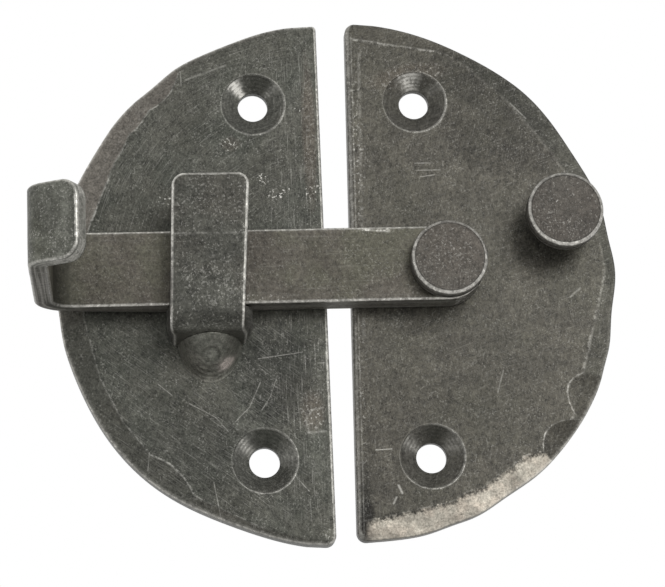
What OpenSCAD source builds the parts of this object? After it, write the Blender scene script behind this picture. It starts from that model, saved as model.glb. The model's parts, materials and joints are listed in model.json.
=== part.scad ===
// A hand-forged swing-over latch on two half-round plates.
// X runs to the right, Z up, and the face that is looked at points to -Y.
// The backs of both plates lie on y = 0, and the middle of the four screw holes is the origin.

/* [Plates] */
// Radius of each half-round plate, before its rim is hammered
plate_r = 42.9; // [40:0.1:48]
// Thickness of both plates
plate_t = 3; // [2.4:0.2:5]
// Gap between the straight edges of the two plates
gap_w = 4; // [2:0.5:8]
// Angle by which the right plate's straight edge leans away from the left plate's at the top
right_lean = 1; // [0:0.1:1.5]
// Radius of the outline corners of both plates, apart from the left plate's upper one
corner_r = 1.5; // [0.6:0.1:3]
// Radius of the left plate's upper corner, which was left sharper
sharp_corner_r = 0.7; // [0.4:0.1:3]
// Depth of the hammer blows on the front of the rims, as a share of that of the real latch
blow_depth = 1; // [0.5:0.1:1.2]
// Depth of the flats that are hammered into the rims' outlines, as a share of that of the real latch
dent_depth = 1; // [0:0.1:1.2]
// Chamfer along each straight edge
edge_c = 0.8; // [0.2:0.1:1]

/* [Screw holes] */
// Distance from the left plate's straight edge to its screw holes
left_screw_in = 10.6; // [9:0.1:14]
// Distance from the right plate's straight edge to its screw holes
right_screw_in = 11.5; // [9:0.1:14]
// Distance between the upper and the lower screw hole of a plate
screw_pitch = 58.2; // [54:0.2:60]
// Diameter of the screw holes
screw_d = 4.8; // [3.5:0.1:5.5]
// Diameter of the countersinks at the surface
sink_d = 10.1; // [8:0.1:11]
// Included angle of the countersinks
sink_angle = 118; // [105:1:125]

/* [Latch bar] */
// Width of the bar, which is also the width of its round end
bar_w = 12; // [10:0.5:14]
// Thickness of the bar
bar_t = 5; // [4:0.25:7]
// Chamfer along the bar's front edges
bar_c = 0.5; // [0.2:0.1:0.8]
// Distance from the right plate's straight edge to the pivot
pivot_in = 14.8; // [12:0.1:18]
// Height of the pivot above the middle of the screw holes
pivot_rise = 0.7; // [0:0.1:3]

/* [Finger curl] */
// Distance from the keeper's middle to the outer face of the curl's leg
curl_reach = 26.9; // [24:0.1:34]
// Thickness of the strap where it is drawn out into the curl
curl_t = 3; // [2.4:0.2:4]
// Length over which the bar thins out before the curl
curl_taper = 16; // [6:1:19]
// Inside radius of the bend between bar and leg
curl_foot_r = 3; // [2:0.25:4]
// Distance from the bar's front face to the outer corner of the curl
curl_rise = 25.5; // [20:0.5:30]
// Inside radius of the bend between leg and arm
curl_top_r = 0.8; // [0.4:0.1:1.5]
// Length of the arm's outer face, from the corner where it meets the leg
arm_l = 8.4; // [7:0.1:12]
// Angle by which the arm leans outwards
arm_lean = 28; // [0:1:35]
// Radius of the arm's corners
arm_corner_r = 2.8; // [1:0.1:4]

/* [Keeper] */
// Distance from the left plate's straight edge to the keeper's middle
keeper_in = 18.65; // [16:0.05:20]
// Thickness of the keeper's strap
keeper_t = 5; // [3.5:0.25:5.5]
// Width of the keeper's leg at its top
keeper_top_w = 12.1; // [10:0.1:13]
// Width of the keeper's leg at its bend
keeper_neck_w = 11.4; // [10:0.1:13]
// Width of the foot, where the strap bulges at the bend
keeper_foot_w = 13.3; // [12:0.1:15]
// How far the leg leans to the right between its bend and its top
keeper_lean = 1.2; // [0:0.1:2]
// Height of the leg's top above the bar's upper edge
keeper_over = 7.7; // [5:0.1:10]
// Outside radius of the keeper's bend
keeper_r = 3; // [1.5:0.1:4]
// Inside radius of the keeper's bend
keeper_in_r = 1; // [0.5:0.1:2]
// Radius of the leg's top corners
keeper_corner_r = 2; // [1:0.1:3]

/* [Keeper weld] */
// Width of the weld bead
weld_w = 9.3; // [7:0.1:10]
// How far the bead runs out along the underside of the foot
weld_reach = 8; // [5:0.1:8.5]
// How far the bead runs down the plate
weld_drop = 5.8; // [4:0.1:7]
// Crown of the bead over its flat chord
weld_crown = 1.1; // [0.5:0.1:1.6]

/* [Rivets] */
// Diameter of the pivot's head and of the stop's head
head_d = 12; // [10:0.25:13]
// Thickness of both heads
head_t = 3; // [2:0.1:4]
// Diameter of the pivot's shank
pivot_d = 6; // [5.4:0.1:7]
// Diameter of the stop's shank
stop_d = 7; // [5.4:0.1:8]
// Diameter of the tenons that go through the plate
tenon_d = 4.6; // [3.6:0.1:5.2]
// Depth of the countersink that the tenons are peened into at the back
peen_h = 0.9; // [0.5:0.1:1.2]
// Distance from the pivot to the stop
stop_reach = 20.1; // [18:0.1:21]
// Angle of the line from the pivot to the stop above level
stop_angle = 21.6; // [15:0.1:30]

/* [Fits] */
// Gap between the bar and the plates behind it
back_gap = 0.3; // [0.2:0.05:0.6]
// Gap between the bar and the heads in front of it
head_gap = 0.3; // [0.2:0.05:0.6]
// Radial clearance of the bar on the pivot
bore_gap = 0.06; // [0.03:0.01:0.1]
// Gap under the bar where it lies in the keeper
rest_gap = 0.3; // [0.2:0.05:0.6]
// Gap between the bar and the keeper's leg
throat_gap = 0.8; // [0.4:0.1:1.5]

/* [Hidden] */
$fn = 96;

// Left and right edges of the gap, with the screw holes' middle at x = 0
screw_pitch_x = left_screw_in + gap_w + right_screw_in;
left_edge_x = left_screw_in - screw_pitch_x / 2;
right_edge_x = screw_pitch_x / 2 - right_screw_in;

// Depths in front of the plates' backs
bar_back = plate_t + back_gap;
bar_front = bar_back + bar_t;
head_back = bar_front + head_gap;
leg_back = bar_front + throat_gap;
leg_front = leg_back + keeper_t;

// Pivot, stop and keeper, seen from the front
pivot_x = right_edge_x + pivot_in;
stop_in = pivot_in + stop_reach * cos(stop_angle);
stop_rise = pivot_rise + stop_reach * sin(stop_angle);
keeper_x = left_edge_x - keeper_in;
bar_top = pivot_rise + bar_w / 2;
bar_bottom = pivot_rise - bar_w / 2;
shelf_top = bar_bottom - rest_gap;
shelf_bottom = shelf_top - keeper_t;
keeper_top = bar_top + keeper_over;

// Curl: outer face of its leg, and the depths where its bends start
curl_x = keeper_x - curl_reach;
curl_back = bar_front - curl_t;
foot_bend_r = curl_foot_r + curl_t;
foot_bend_x = curl_x + foot_bend_r;
foot_bend_y = curl_back + foot_bend_r;
top_bend_r = curl_top_r + curl_t;
arm_turn = 90 - arm_lean;
top_bend_y = bar_front + curl_rise - top_bend_r * tan(arm_turn / 2);
arm_flat = arm_l - top_bend_r * tan(arm_turn / 2);

// Hammer blows on the front of each rim: angle above level, reach in from the rim, drop at the rim,
// and radius of the hammer's crown, which is 0 for its flat face
left_blows = [
    [-74, 0.9, 0.3, 0], [-63, 1.6, 0.45, 0], [-50, 3.9, 0.85, 45], [-38, 3.4, 0.8, 0], [-26, 3.5, 0.75, 0],
    [-14, 4, 0.8, 0], [-2, 4.2, 0.85, 0], [11, 4.6, 0.85, 0], [22, 4.4, 0.85, 0], [33, 3.6, 0.8, 60],
    [41, 3.4, 0.8, 60], [49.5, 3, 0.75, 30], [61, 0.9, 0.3, 0], [72, 0.7, 0.25, 0]];
right_blows = [
    [-78, 3.8, 0.85, 0], [-64, 3.8, 0.8, 40], [-55.5, 3.4, 0.75, 60], [-50, 3.5, 0.7, 30],
    [-39.3, 3.7, 0.95, 13], [-27.3, 4.6, 0.9, 14], [-15, 3.2, 0.45, 0], [-4, 1.6, 0.35, 0],
    [8, 1.6, 0.35, 0], [19, 2.6, 0.4, 0], [29, 3, 0.4, 0], [38, 3.5, 0.45, 0], [48, 3.1, 0.4, 0],
    [60, 1.6, 0.3, 0], [70, 1.6, 0.3, 0], [81, 3, 0.45, 0]];

// Flats in each rim's outline: angle above level, spread in degrees and depth
left_dents = [[-68, 15, 0.9], [-21, 15, 0.45], [-6, 5, 0.35], [31, 14, 0.9], [50, 7, 0.65], [68, 12, 0.95],
    [87, 8, 0.4]];
right_dents = [
    [-87, 16, 0.9], [-69, 5, 0.4], [-56, 7, 0.55], [-20, 4, 0.3], [-8, 8, 1], [9, 7, 0.75], [30, 13, 1],
    [62, 15, 0.7]];

// Where a rim's outline gives way to a corner, and the step between its points
rim_end = 84;
rim_step = 3;
peen_d = tenon_d + 2 * peen_h;
big = 200;

// Points on an arc, from angle a0 to angle a1 in n steps
function arc(cx, cy, r, a0, a1, n) =
    [for (i = [0 : n]) let (a = a0 + (a1 - a0) * i / n) [cx + r * cos(a), cy + r * sin(a)]];

// Sum of a list of numbers
function total(list) = list * [for (n = list) 1];

// Radius of a hammered rim at angle a
function rim_radius(a, dents) =
    plate_r - dent_depth * total([for (d = dents) d[2] * exp(-pow((a - d[0]) / d[1], 2))]);

// Height of the centre of a corner of radius c that touches the straight edge and a rim of radius r
function corner_y(r, c) = sqrt(pow(r - c, 2) - c * c);

// Outline of a plate whose straight edge lies on x = 0, with the plate to its right
function plate_outline(dents, top_r) =
    let (top = corner_y(rim_radius(rim_end, dents), top_r), low = corner_y(rim_radius(-rim_end, dents), corner_r))
    concat(
        arc(top_r, top, top_r, 180, atan2(top, top_r), 5),
        [for (a = [rim_end : -rim_step : -rim_end]) rim_radius(a, dents) * [cos(a), sin(a)]],
        arc(corner_r, -low, corner_r, -atan2(low, corner_r), -180, 5));

// Stands a shape that was drawn flat on end, so that its thickness runs from y = 0 towards the viewer
module stand() {
    rotate([90, 0, 0]) children();
}

// A slab of a front outline, between two depths in front of the plates' backs
module slab(from, to) {
    translate([0, -from, 0]) stand() linear_extrude(to - from) children();
}

// What one hammer blow takes off, with the rim at x = r: a plane across the whole chord, or a trough if crowned
module blow_cut(r, reach, drop, crown) {
    span = 2 * sqrt(2 * r * reach);
    translate([r - reach, 0, plate_t]) rotate([0, atan(drop / reach), 0])
        if (crown == 0) translate([0, -span / 2, 0]) cube([2 * reach + plate_t, span, plate_t]);
        else translate([-reach, 0, crown]) rotate([0, 90, 0]) cylinder(h = 3 * reach + plate_t, r = crown);
}

// A plate's blank lying flat with its straight edge on x = 0: hammered rim and chamfered edge
module plate_blank(blows, dents, top_r) {
    difference() {
        linear_extrude(plate_t) polygon(plate_outline(dents, top_r));
        for (b = blows) rotate([0, 0, b[0]]) blow_cut(rim_radius(b[0], dents), b[1], b[2] * blow_depth, b[3]);
        translate([0, 0, plate_t]) rotate([0, 45, 0])
            cube([edge_c * sqrt(2), 3 * plate_r, edge_c * sqrt(2)], center = true);
    }
}

// One plate: the blank, turned by its lean, with its two countersunk screw holes
module half_plate(blows, dents, top_r, lean, screw_in) {
    sink_slope = tan(sink_angle / 2);
    sink_h = (sink_d - screw_d) / 2 / sink_slope;
    difference() {
        rotate([0, 0, -lean]) plate_blank(blows, dents, top_r);
        for (s = [-1, 1]) translate([screw_in, s * screw_pitch / 2, 0]) {
            translate([0, 0, -1]) cylinder(h = plate_t + 2, d = screw_d);
            translate([0, 0, plate_t - sink_h])
                cylinder(h = 2 * sink_h, d1 = screw_d, d2 = screw_d + 4 * sink_h * sink_slope);
        }
    }
}

// The hole for a tenon, with its countersink at the back
module tenon_hole() {
    translate([0, 0, -1]) cylinder(h = plate_t + 2, d = tenon_d);
    cylinder(h = peen_h, d1 = peen_d, d2 = tenon_d);
}

module left_plate() {
    color("#4b4c47") translate([left_edge_x, 0, 0]) mirror([1, 0, 0]) stand()
        half_plate(left_blows, left_dents, sharp_corner_r, 0, left_screw_in);
}

module right_plate() {
    color("#58544e") translate([right_edge_x, 0, 0]) stand() difference() {
        half_plate(right_blows, right_dents, corner_r, right_lean, right_screw_in);
        translate([pivot_in, pivot_rise, 0]) tenon_hole();
        translate([stop_in, stop_rise, 0]) tenon_hole();
    }
}

// A shouldered rivet: flat head with worn edges, shank, tenon and the peened tail flush with the plate's back
module rivet(shank_d) {
    head_front = head_back + head_t;
    worn = 0.35;
    stand() rotate_extrude() polygon([
        [0, 0], [peen_d / 2, 0], [tenon_d / 2, peen_h], [tenon_d / 2, plate_t], [shank_d / 2, plate_t],
        [shank_d / 2, head_back], [head_d / 2 - worn, head_back], [head_d / 2, head_back + worn],
        [head_d / 2, head_front - worn], [head_d / 2 - worn, head_front], [0, head_front]]);
}

module pivot_rivet() {
    color("#5e5a53") translate([pivot_x, 0, pivot_rise]) rivet(pivot_d);
}

module stop_stud() {
    color("#5e5a53") translate([right_edge_x + stop_in, 0, stop_rise]) rivet(stop_d);
}

// Outline of the bar and its curl, looked at from above, with depth as the second axis
module bar_profile() {
    arm_end = [curl_x + top_bend_r, top_bend_y] + top_bend_r * [-sin(arm_lean), cos(arm_lean)];
    tip = arm_end + arm_flat * [cos(arm_lean), sin(arm_lean)];
    tip_in = tip + curl_t * [sin(arm_lean), -cos(arm_lean)];
    polygon(concat(
        [[pivot_x + bar_w, bar_front], [pivot_x + bar_w, bar_back], [foot_bend_x + curl_taper, bar_back]],
        arc(foot_bend_x, foot_bend_y, foot_bend_r, 270, 180, 10),
        arc(curl_x + top_bend_r, top_bend_y, top_bend_r, 180, 180 - arm_turn, 10),
        [tip, tip_in],
        arc(curl_x + top_bend_r, top_bend_y, curl_top_r, 180 - arm_turn, 180, 6),
        arc(foot_bend_x, foot_bend_y, curl_foot_r, 180, 270, 8)));
}

// Cross-section of the straight bar, with depth as the first axis and height as the second
module bar_section() {
    polygon([[0, bar_bottom], [0, bar_top], [bar_c - bar_front, bar_top], [-bar_front, bar_top - bar_c],
        [-bar_front, bar_bottom + bar_c], [bar_c - bar_front, bar_bottom]]);
}

// Front outline of the arm, with its two round corners at the tip
module arm_outline() {
    tip_x = curl_x + top_bend_r * (1 - sin(arm_lean)) + arm_flat * cos(arm_lean) + curl_t * sin(arm_lean);
    r = arm_corner_r;
    polygon(concat(
        [[curl_x - 1, bar_top], [curl_x - 1, bar_bottom]],
        arc(tip_x - r, bar_bottom + r, r, -90, 0, 6),
        arc(tip_x - r, bar_top - r, r, 0, 90, 6)));
}

// The bar: its plan with the curl, cut to its front outline, chamfered in front and drilled for the pivot
module latch_bar() {
    color("#5a564f") difference() {
        intersection() {
            translate([0, 0, bar_bottom]) linear_extrude(bar_w) mirror([0, 1, 0]) bar_profile();
            union() {
                translate([pivot_x, 0, pivot_rise]) stand() rotate_extrude() polygon([[0, 0], [bar_w / 2, 0],
                    [bar_w / 2, bar_front - bar_c], [bar_w / 2 - bar_c, bar_front], [0, bar_front]]);
                translate([foot_bend_x, 0, 0]) rotate([90, 0, 90])
                    linear_extrude(pivot_x - foot_bend_x) bar_section();
                slab(0, foot_bend_y) translate([curl_x - 1, bar_bottom]) square([foot_bend_r + 1, bar_w]);
                slab(foot_bend_y, 3 * curl_rise) arm_outline();
            }
        }
        translate([pivot_x, 0, pivot_rise]) stand() cylinder(h = 2 * bar_front, r = pivot_d / 2 + bore_gap);
    }
}

// Section of the keeper, with depth as the first axis and height as the second
module keeper_section() {
    polygon(concat(
        [[-plate_t, shelf_top], [-plate_t, shelf_bottom]],
        arc(-leg_front + keeper_r, shelf_bottom + keeper_r, keeper_r, 270, 180, 8),
        [[-leg_front, keeper_top], [-leg_back, keeper_top]],
        arc(-leg_back + keeper_in_r, shelf_top + keeper_in_r, keeper_in_r, 180, 270, 5)));
}

// Front outline of the keeper's leg: narrow at the bend, leaning to the right, round at its top corners
module leg_outline() {
    r = keeper_corner_r;
    top_x = keeper_x + keeper_lean / 2;
    neck_x = keeper_x - keeper_lean / 2;
    polygon(concat(
        [[neck_x - keeper_neck_w / 2, shelf_bottom - 1], [neck_x + keeper_neck_w / 2, shelf_bottom - 1]],
        arc(top_x + keeper_top_w / 2 - r, keeper_top - r, r, 0, 90, 6),
        arc(top_x - keeper_top_w / 2 + r, keeper_top - r, r, 90, 180, 6)));
}

// Plan of the keeper's foot: as wide as the bulge at the bend, a little narrower where it meets the plate
module foot_plan() {
    plate_w = keeper_foot_w - 0.8;
    neck_x = keeper_x - keeper_lean / 2;
    polygon([[keeper_x - plate_w / 2, -plate_t + 1], [keeper_x - plate_w / 2, -plate_t],
        [keeper_x - keeper_foot_w / 2, -bar_back - bar_t / 2], [keeper_x - keeper_foot_w / 2, -bar_front],
        [neck_x - keeper_neck_w / 2, -leg_back - keeper_t / 2], [neck_x - keeper_neck_w / 2, -leg_front - 1],
        [neck_x + keeper_neck_w / 2, -leg_front - 1], [neck_x + keeper_neck_w / 2, -leg_back - keeper_t / 2],
        [keeper_x + keeper_foot_w / 2, -bar_front], [keeper_x + keeper_foot_w / 2, -bar_back - bar_t / 2],
        [keeper_x + plate_w / 2, -plate_t], [keeper_x + plate_w / 2, -plate_t + 1]]);
}

module keeper() {
    color("#474842") intersection() {
        translate([keeper_x - keeper_foot_w, 0, 0]) rotate([90, 0, 90])
            linear_extrude(2 * keeper_foot_w) keeper_section();
        union() {
            slab(leg_back, leg_front + 1) leg_outline();
            translate([0, 0, shelf_bottom - 1]) linear_extrude(keeper_t + 1) foot_plan();
            slab(leg_back - keeper_in_r, leg_front) translate([keeper_x - keeper_foot_w, shelf_top])
                intersection() {
                    square([2 * keeper_foot_w, keeper_in_r]);
                    translate([-keeper_x + keeper_foot_w, -shelf_top]) leg_outline();
                }
        }
    }
}

// The weld bead under the foot: a rippled, crowned button with an end crater, filling the corner below the foot
module keeper_weld() {
    slope = atan2(weld_drop, weld_reach);
    r = weld_w / 2;
    steps = 24;
    crater_r = 0.16 * weld_w;
    color("#55554f") intersection() {
        translate([keeper_x, -plate_t - weld_reach / 2, shelf_bottom - weld_drop / 2])
            rotate([180 - slope, 0, 0]) rotate_extrude() polygon(concat(
                [[0, -weld_reach], [r, -weld_reach]],
                [for (i = [steps : -1 : 0]) let (q = i / steps)
                    [r * q, weld_crown * (1 - q * q) + 0.08 * sin(360 * 4.5 * q)
                        - (q * r < crater_r ? 0.35 * weld_crown : 0)]]));
        translate([keeper_x - weld_w, -plate_t - big, shelf_bottom - big]) cube([2 * weld_w, big, big]);
    }
}

left_plate();
keeper();
keeper_weld();
right_plate();
latch_bar();
pivot_rivet();
stop_stud();
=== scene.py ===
"""Looks of a hand-forged swing-over latch: two half-round plates, a hook, a bar with a curl, two rivets.

Shapes are worked out in front-view millimetres: x to the right, depth towards the viewer, z up.
place() turns them into scene metres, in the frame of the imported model.
"""

import json
import logging
import math
from dataclasses import dataclass
from enum import Enum

import bmesh
import bpy
import numpy as np
from mathutils import Matrix, Vector

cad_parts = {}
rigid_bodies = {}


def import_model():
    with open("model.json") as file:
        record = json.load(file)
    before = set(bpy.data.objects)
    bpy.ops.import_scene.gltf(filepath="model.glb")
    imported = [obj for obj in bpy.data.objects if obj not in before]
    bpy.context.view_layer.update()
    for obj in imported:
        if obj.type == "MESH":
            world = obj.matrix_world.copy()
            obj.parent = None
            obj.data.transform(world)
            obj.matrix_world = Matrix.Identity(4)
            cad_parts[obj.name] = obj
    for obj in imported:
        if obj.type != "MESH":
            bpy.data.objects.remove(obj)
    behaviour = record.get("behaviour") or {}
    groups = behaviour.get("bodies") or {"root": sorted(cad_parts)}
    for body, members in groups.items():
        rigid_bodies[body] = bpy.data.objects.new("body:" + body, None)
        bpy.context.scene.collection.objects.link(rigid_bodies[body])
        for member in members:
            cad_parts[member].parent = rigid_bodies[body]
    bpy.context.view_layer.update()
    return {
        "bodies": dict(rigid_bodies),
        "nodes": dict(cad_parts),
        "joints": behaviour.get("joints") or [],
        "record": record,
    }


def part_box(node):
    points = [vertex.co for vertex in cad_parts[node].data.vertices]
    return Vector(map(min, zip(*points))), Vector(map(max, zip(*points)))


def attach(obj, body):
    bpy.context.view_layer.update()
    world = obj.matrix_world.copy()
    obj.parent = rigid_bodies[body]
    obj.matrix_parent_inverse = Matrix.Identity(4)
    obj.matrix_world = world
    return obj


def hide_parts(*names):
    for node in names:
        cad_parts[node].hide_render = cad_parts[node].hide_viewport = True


LOG = logging.getLogger("latch")
MM = 0.001
PHOTO_WIDTH = 665
MERGE_MM = 0.0008
RIGHT_EDGE_MM = 1.55
BAR_FRONT_MM = 8.3

Array = np.ndarray
Point = tuple[float, float]
Colour = tuple[float, float, float]


def table(kind: type, *rows: tuple[float, ...]) -> tuple:
    """Makes one object of a kind from each row of numbers."""
    return tuple(kind(*row) for row in rows)


class Mark(Enum):
    """What a surface point carries besides its place; each is an attribute that the finishes read."""

    # Rubbed edges, ridges and specks, and painted glints: on the countersinks, on the weld's bead and on the
    # lit side of rims and heads.
    WEAR_AND_GLINT = "worn"
    # Ground faces of blows that carry a painted reflection of light from below.
    REFLECTING_FACET = "reflecting_facet"
    # Painted shade: on the turning marks and upper wall of the countersinks, in the bar's inner bend, and on
    # the weld's ripples and upper part under the hook's foot.
    PAINTED_SHADE = "painted_shade"
    FACET = "facet"
    SHINE = "shine"
    TONE = "tone"
    LAYER = "layer"


def place(x: Array, depth: Array, z: Array) -> Array:
    """Joins front-view millimetres into points.

    Args:
        x: distance to the right.
        depth: distance towards the viewer from the plates' backs.
        z: height.

    Returns:
        Array of points in the same millimetres, one more axis than the inputs: (x, -depth, z).
    """
    return np.stack(np.broadcast_arrays(x, -np.asarray(depth), z), axis=-1)


def sweep_angle(start: float, end: float, count: int) -> Array:
    """Returns count angles in radians from start to end degrees."""
    return np.radians(np.linspace(start, end, count))


def swell(a: Array, b: Array, pitch: float, seed: int) -> Array:
    """Slow waviness of a forged face: a mean of sine waves in random directions, between 0 and 1.

    Args:
        a: first coordinate in mm.
        b: second coordinate in mm.
        pitch: typical distance between crests in mm.
        seed: picks the waves, so that a face is the same each run.

    Returns:
        Array with the shape of a.
    """
    rng = np.random.default_rng(seed)
    waves = 7
    turn = rng.uniform(0, math.tau, waves)
    phase = rng.uniform(0, math.tau, waves)
    rate = math.tau / (pitch * rng.uniform(0.7, 1.6, waves))
    total = sum(np.sin(k * (np.cos(t) * a + np.sin(t) * b) + p) for k, t, p in zip(rate, turn, phase))
    return 0.5 + 0.5 * total / waves


def smooth_step(value: Array, low: float, high: float) -> Array:
    """Returns 0 below low, 1 above high and a smooth cubic between them."""
    t = np.clip((value - low) / (high - low), 0, 1)
    return t * t * (3 - 2 * t)


class Skin:
    """A closed surface put together from grids of points."""

    def __init__(self, name: str) -> None:
        """Starts an empty surface.

        Args:
            name: the piece's name.
        """
        self.name = name
        self.points: list[Array] = []
        self.quads: list[Array] = []
        self.marks: dict[Mark, list[Array]] = {mark: [] for mark in Mark}
        self.along: list[Array] = []
        self.count = 0

    def add(self, points: Array, marks: dict[Mark, Array] | None = None,
            along: Array | None = None) -> None:
        """Adds one grid of points and the quads between them.

        Args:
            points: array of rows by columns by 3, in millimetres.
            marks: what the points carry; what is left out is 0.
            along: array of rows by columns by 2, a map in millimetres that follows the surface.
        """
        rows, columns = points.shape[:2]
        index = self.count + np.arange(rows * columns).reshape(rows, columns)
        self.quads.append(np.stack(
            [index[:-1, :-1], index[1:, :-1], index[1:, 1:], index[:-1, 1:]], axis=-1).reshape(-1, 4))
        self.points.append(points.reshape(-1, 3))
        for mark in Mark:
            value = (marks or {}).get(mark, 0.0)
            self.marks[mark].append(np.broadcast_to(value, (rows, columns)).reshape(-1))
        flat = np.zeros((rows, columns, 2)) if along is None else along
        self.along.append(flat.reshape(-1, 2))
        self.count += rows * columns

    def build(self) -> bpy.types.Object:
        """Makes the mesh object: grids joined where they meet, faces outwards, smooth shaded.

        Returns:
            The object, with one float attribute per mark and the map "along".
        """
        mesh = bpy.data.meshes.new(self.name)
        points = np.concatenate(self.points) * MM
        quads = np.concatenate(self.quads)
        mesh.vertices.add(len(points))
        mesh.vertices.foreach_set("co", points.astype(np.float32).ravel())
        mesh.loops.add(quads.size)
        mesh.loops.foreach_set("vertex_index", quads.astype(np.int32).ravel())
        mesh.polygons.add(len(quads))
        mesh.polygons.foreach_set("loop_start", np.arange(0, quads.size, 4, dtype=np.int32))
        mesh.update(calc_edges=True)
        for mark in Mark:
            layer = mesh.attributes.new(mark.value, "FLOAT", "POINT")
            layer.data.foreach_set("value", np.concatenate(self.marks[mark]).astype(np.float32))
        uv = mesh.uv_layers.new(name="along")
        loops = np.concatenate(self.along)[quads.ravel()]
        uv.data.foreach_set("uv", loops.astype(np.float32).ravel())
        shape = bmesh.new()
        shape.from_mesh(mesh)
        bmesh.ops.remove_doubles(shape, verts=shape.verts, dist=MERGE_MM * MM)
        bmesh.ops.dissolve_degenerate(shape, edges=shape.edges, dist=MERGE_MM * MM)
        bmesh.ops.recalc_face_normals(shape, faces=shape.faces)
        open_edges = sum(1 for edge in shape.edges if len(edge.link_faces) != 2)
        if shape.calc_volume(signed=True) < 0:
            bmesh.ops.reverse_faces(shape, faces=shape.faces)
        shape.to_mesh(mesh)
        shape.free()
        mesh.polygons.foreach_set("use_smooth", np.ones(len(mesh.polygons), dtype=bool))
        piece = bpy.data.objects.new(self.name, mesh)
        bpy.context.scene.collection.objects.link(piece)
        LOG.info("%s: %d faces, %d open edges", self.name, len(mesh.polygons), open_edges)
        return piece


class Field:
    """A number or colour that changes over a surface: an output of a shader node, with arithmetic."""

    def __init__(self, graph: "Graph", socket: bpy.types.NodeSocket) -> None:
        """Keeps the socket and the graph it belongs to."""
        self.graph = graph
        self.socket = socket

    def _maths(self, operation: str, first: "Field | float", second: "Field | float") -> "Field":
        """Adds a Math node for first operation second."""
        return self.graph.node("ShaderNodeMath", {"operation": operation}, {0: first, 1: second})

    def __add__(self, other: "Field | float") -> "Field":
        """self + other"""
        return self._maths("ADD", self, other)

    def __radd__(self, other: float) -> "Field":
        """other + self"""
        return self._maths("ADD", other, self)

    def __sub__(self, other: "Field | float") -> "Field":
        """self - other"""
        return self._maths("SUBTRACT", self, other)

    def __rsub__(self, other: float) -> "Field":
        """other - self"""
        return self._maths("SUBTRACT", other, self)

    def __mul__(self, other: "Field | float") -> "Field":
        """self * other"""
        return self._maths("MULTIPLY", self, other)

    def __rmul__(self, other: float) -> "Field":
        """other * self"""
        return self._maths("MULTIPLY", other, self)

    def __truediv__(self, other: "Field | float") -> "Field":
        """self / other"""
        return self._maths("DIVIDE", self, other)

    def __pow__(self, other: float) -> "Field":
        """self to the power of other"""
        return self._maths("POWER", self, other)

    def at_most(self, other: "Field | float") -> "Field":
        """The lesser of the two."""
        return self._maths("MINIMUM", self, other)

    def at_least(self, other: "Field | float") -> "Field":
        """The greater of the two."""
        return self._maths("MAXIMUM", self, other)

    def ramp(self, low: float, high: float, to_low: float = 0.0, to_high: float = 1.0) -> "Field":
        """A smooth step of the field.

        Args:
            low: where the step starts.
            high: where it ends.
            to_low: the result up to low.
            to_high: the result from high on.

        Returns:
            The step.
        """
        return self.graph.node(
            "ShaderNodeMapRange", {"interpolation_type": "SMOOTHSTEP"},
            {"Value": self, "From Min": low, "From Max": high, "To Min": to_low, "To Max": to_high})


Value = Field | float | tuple[float, ...]


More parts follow.
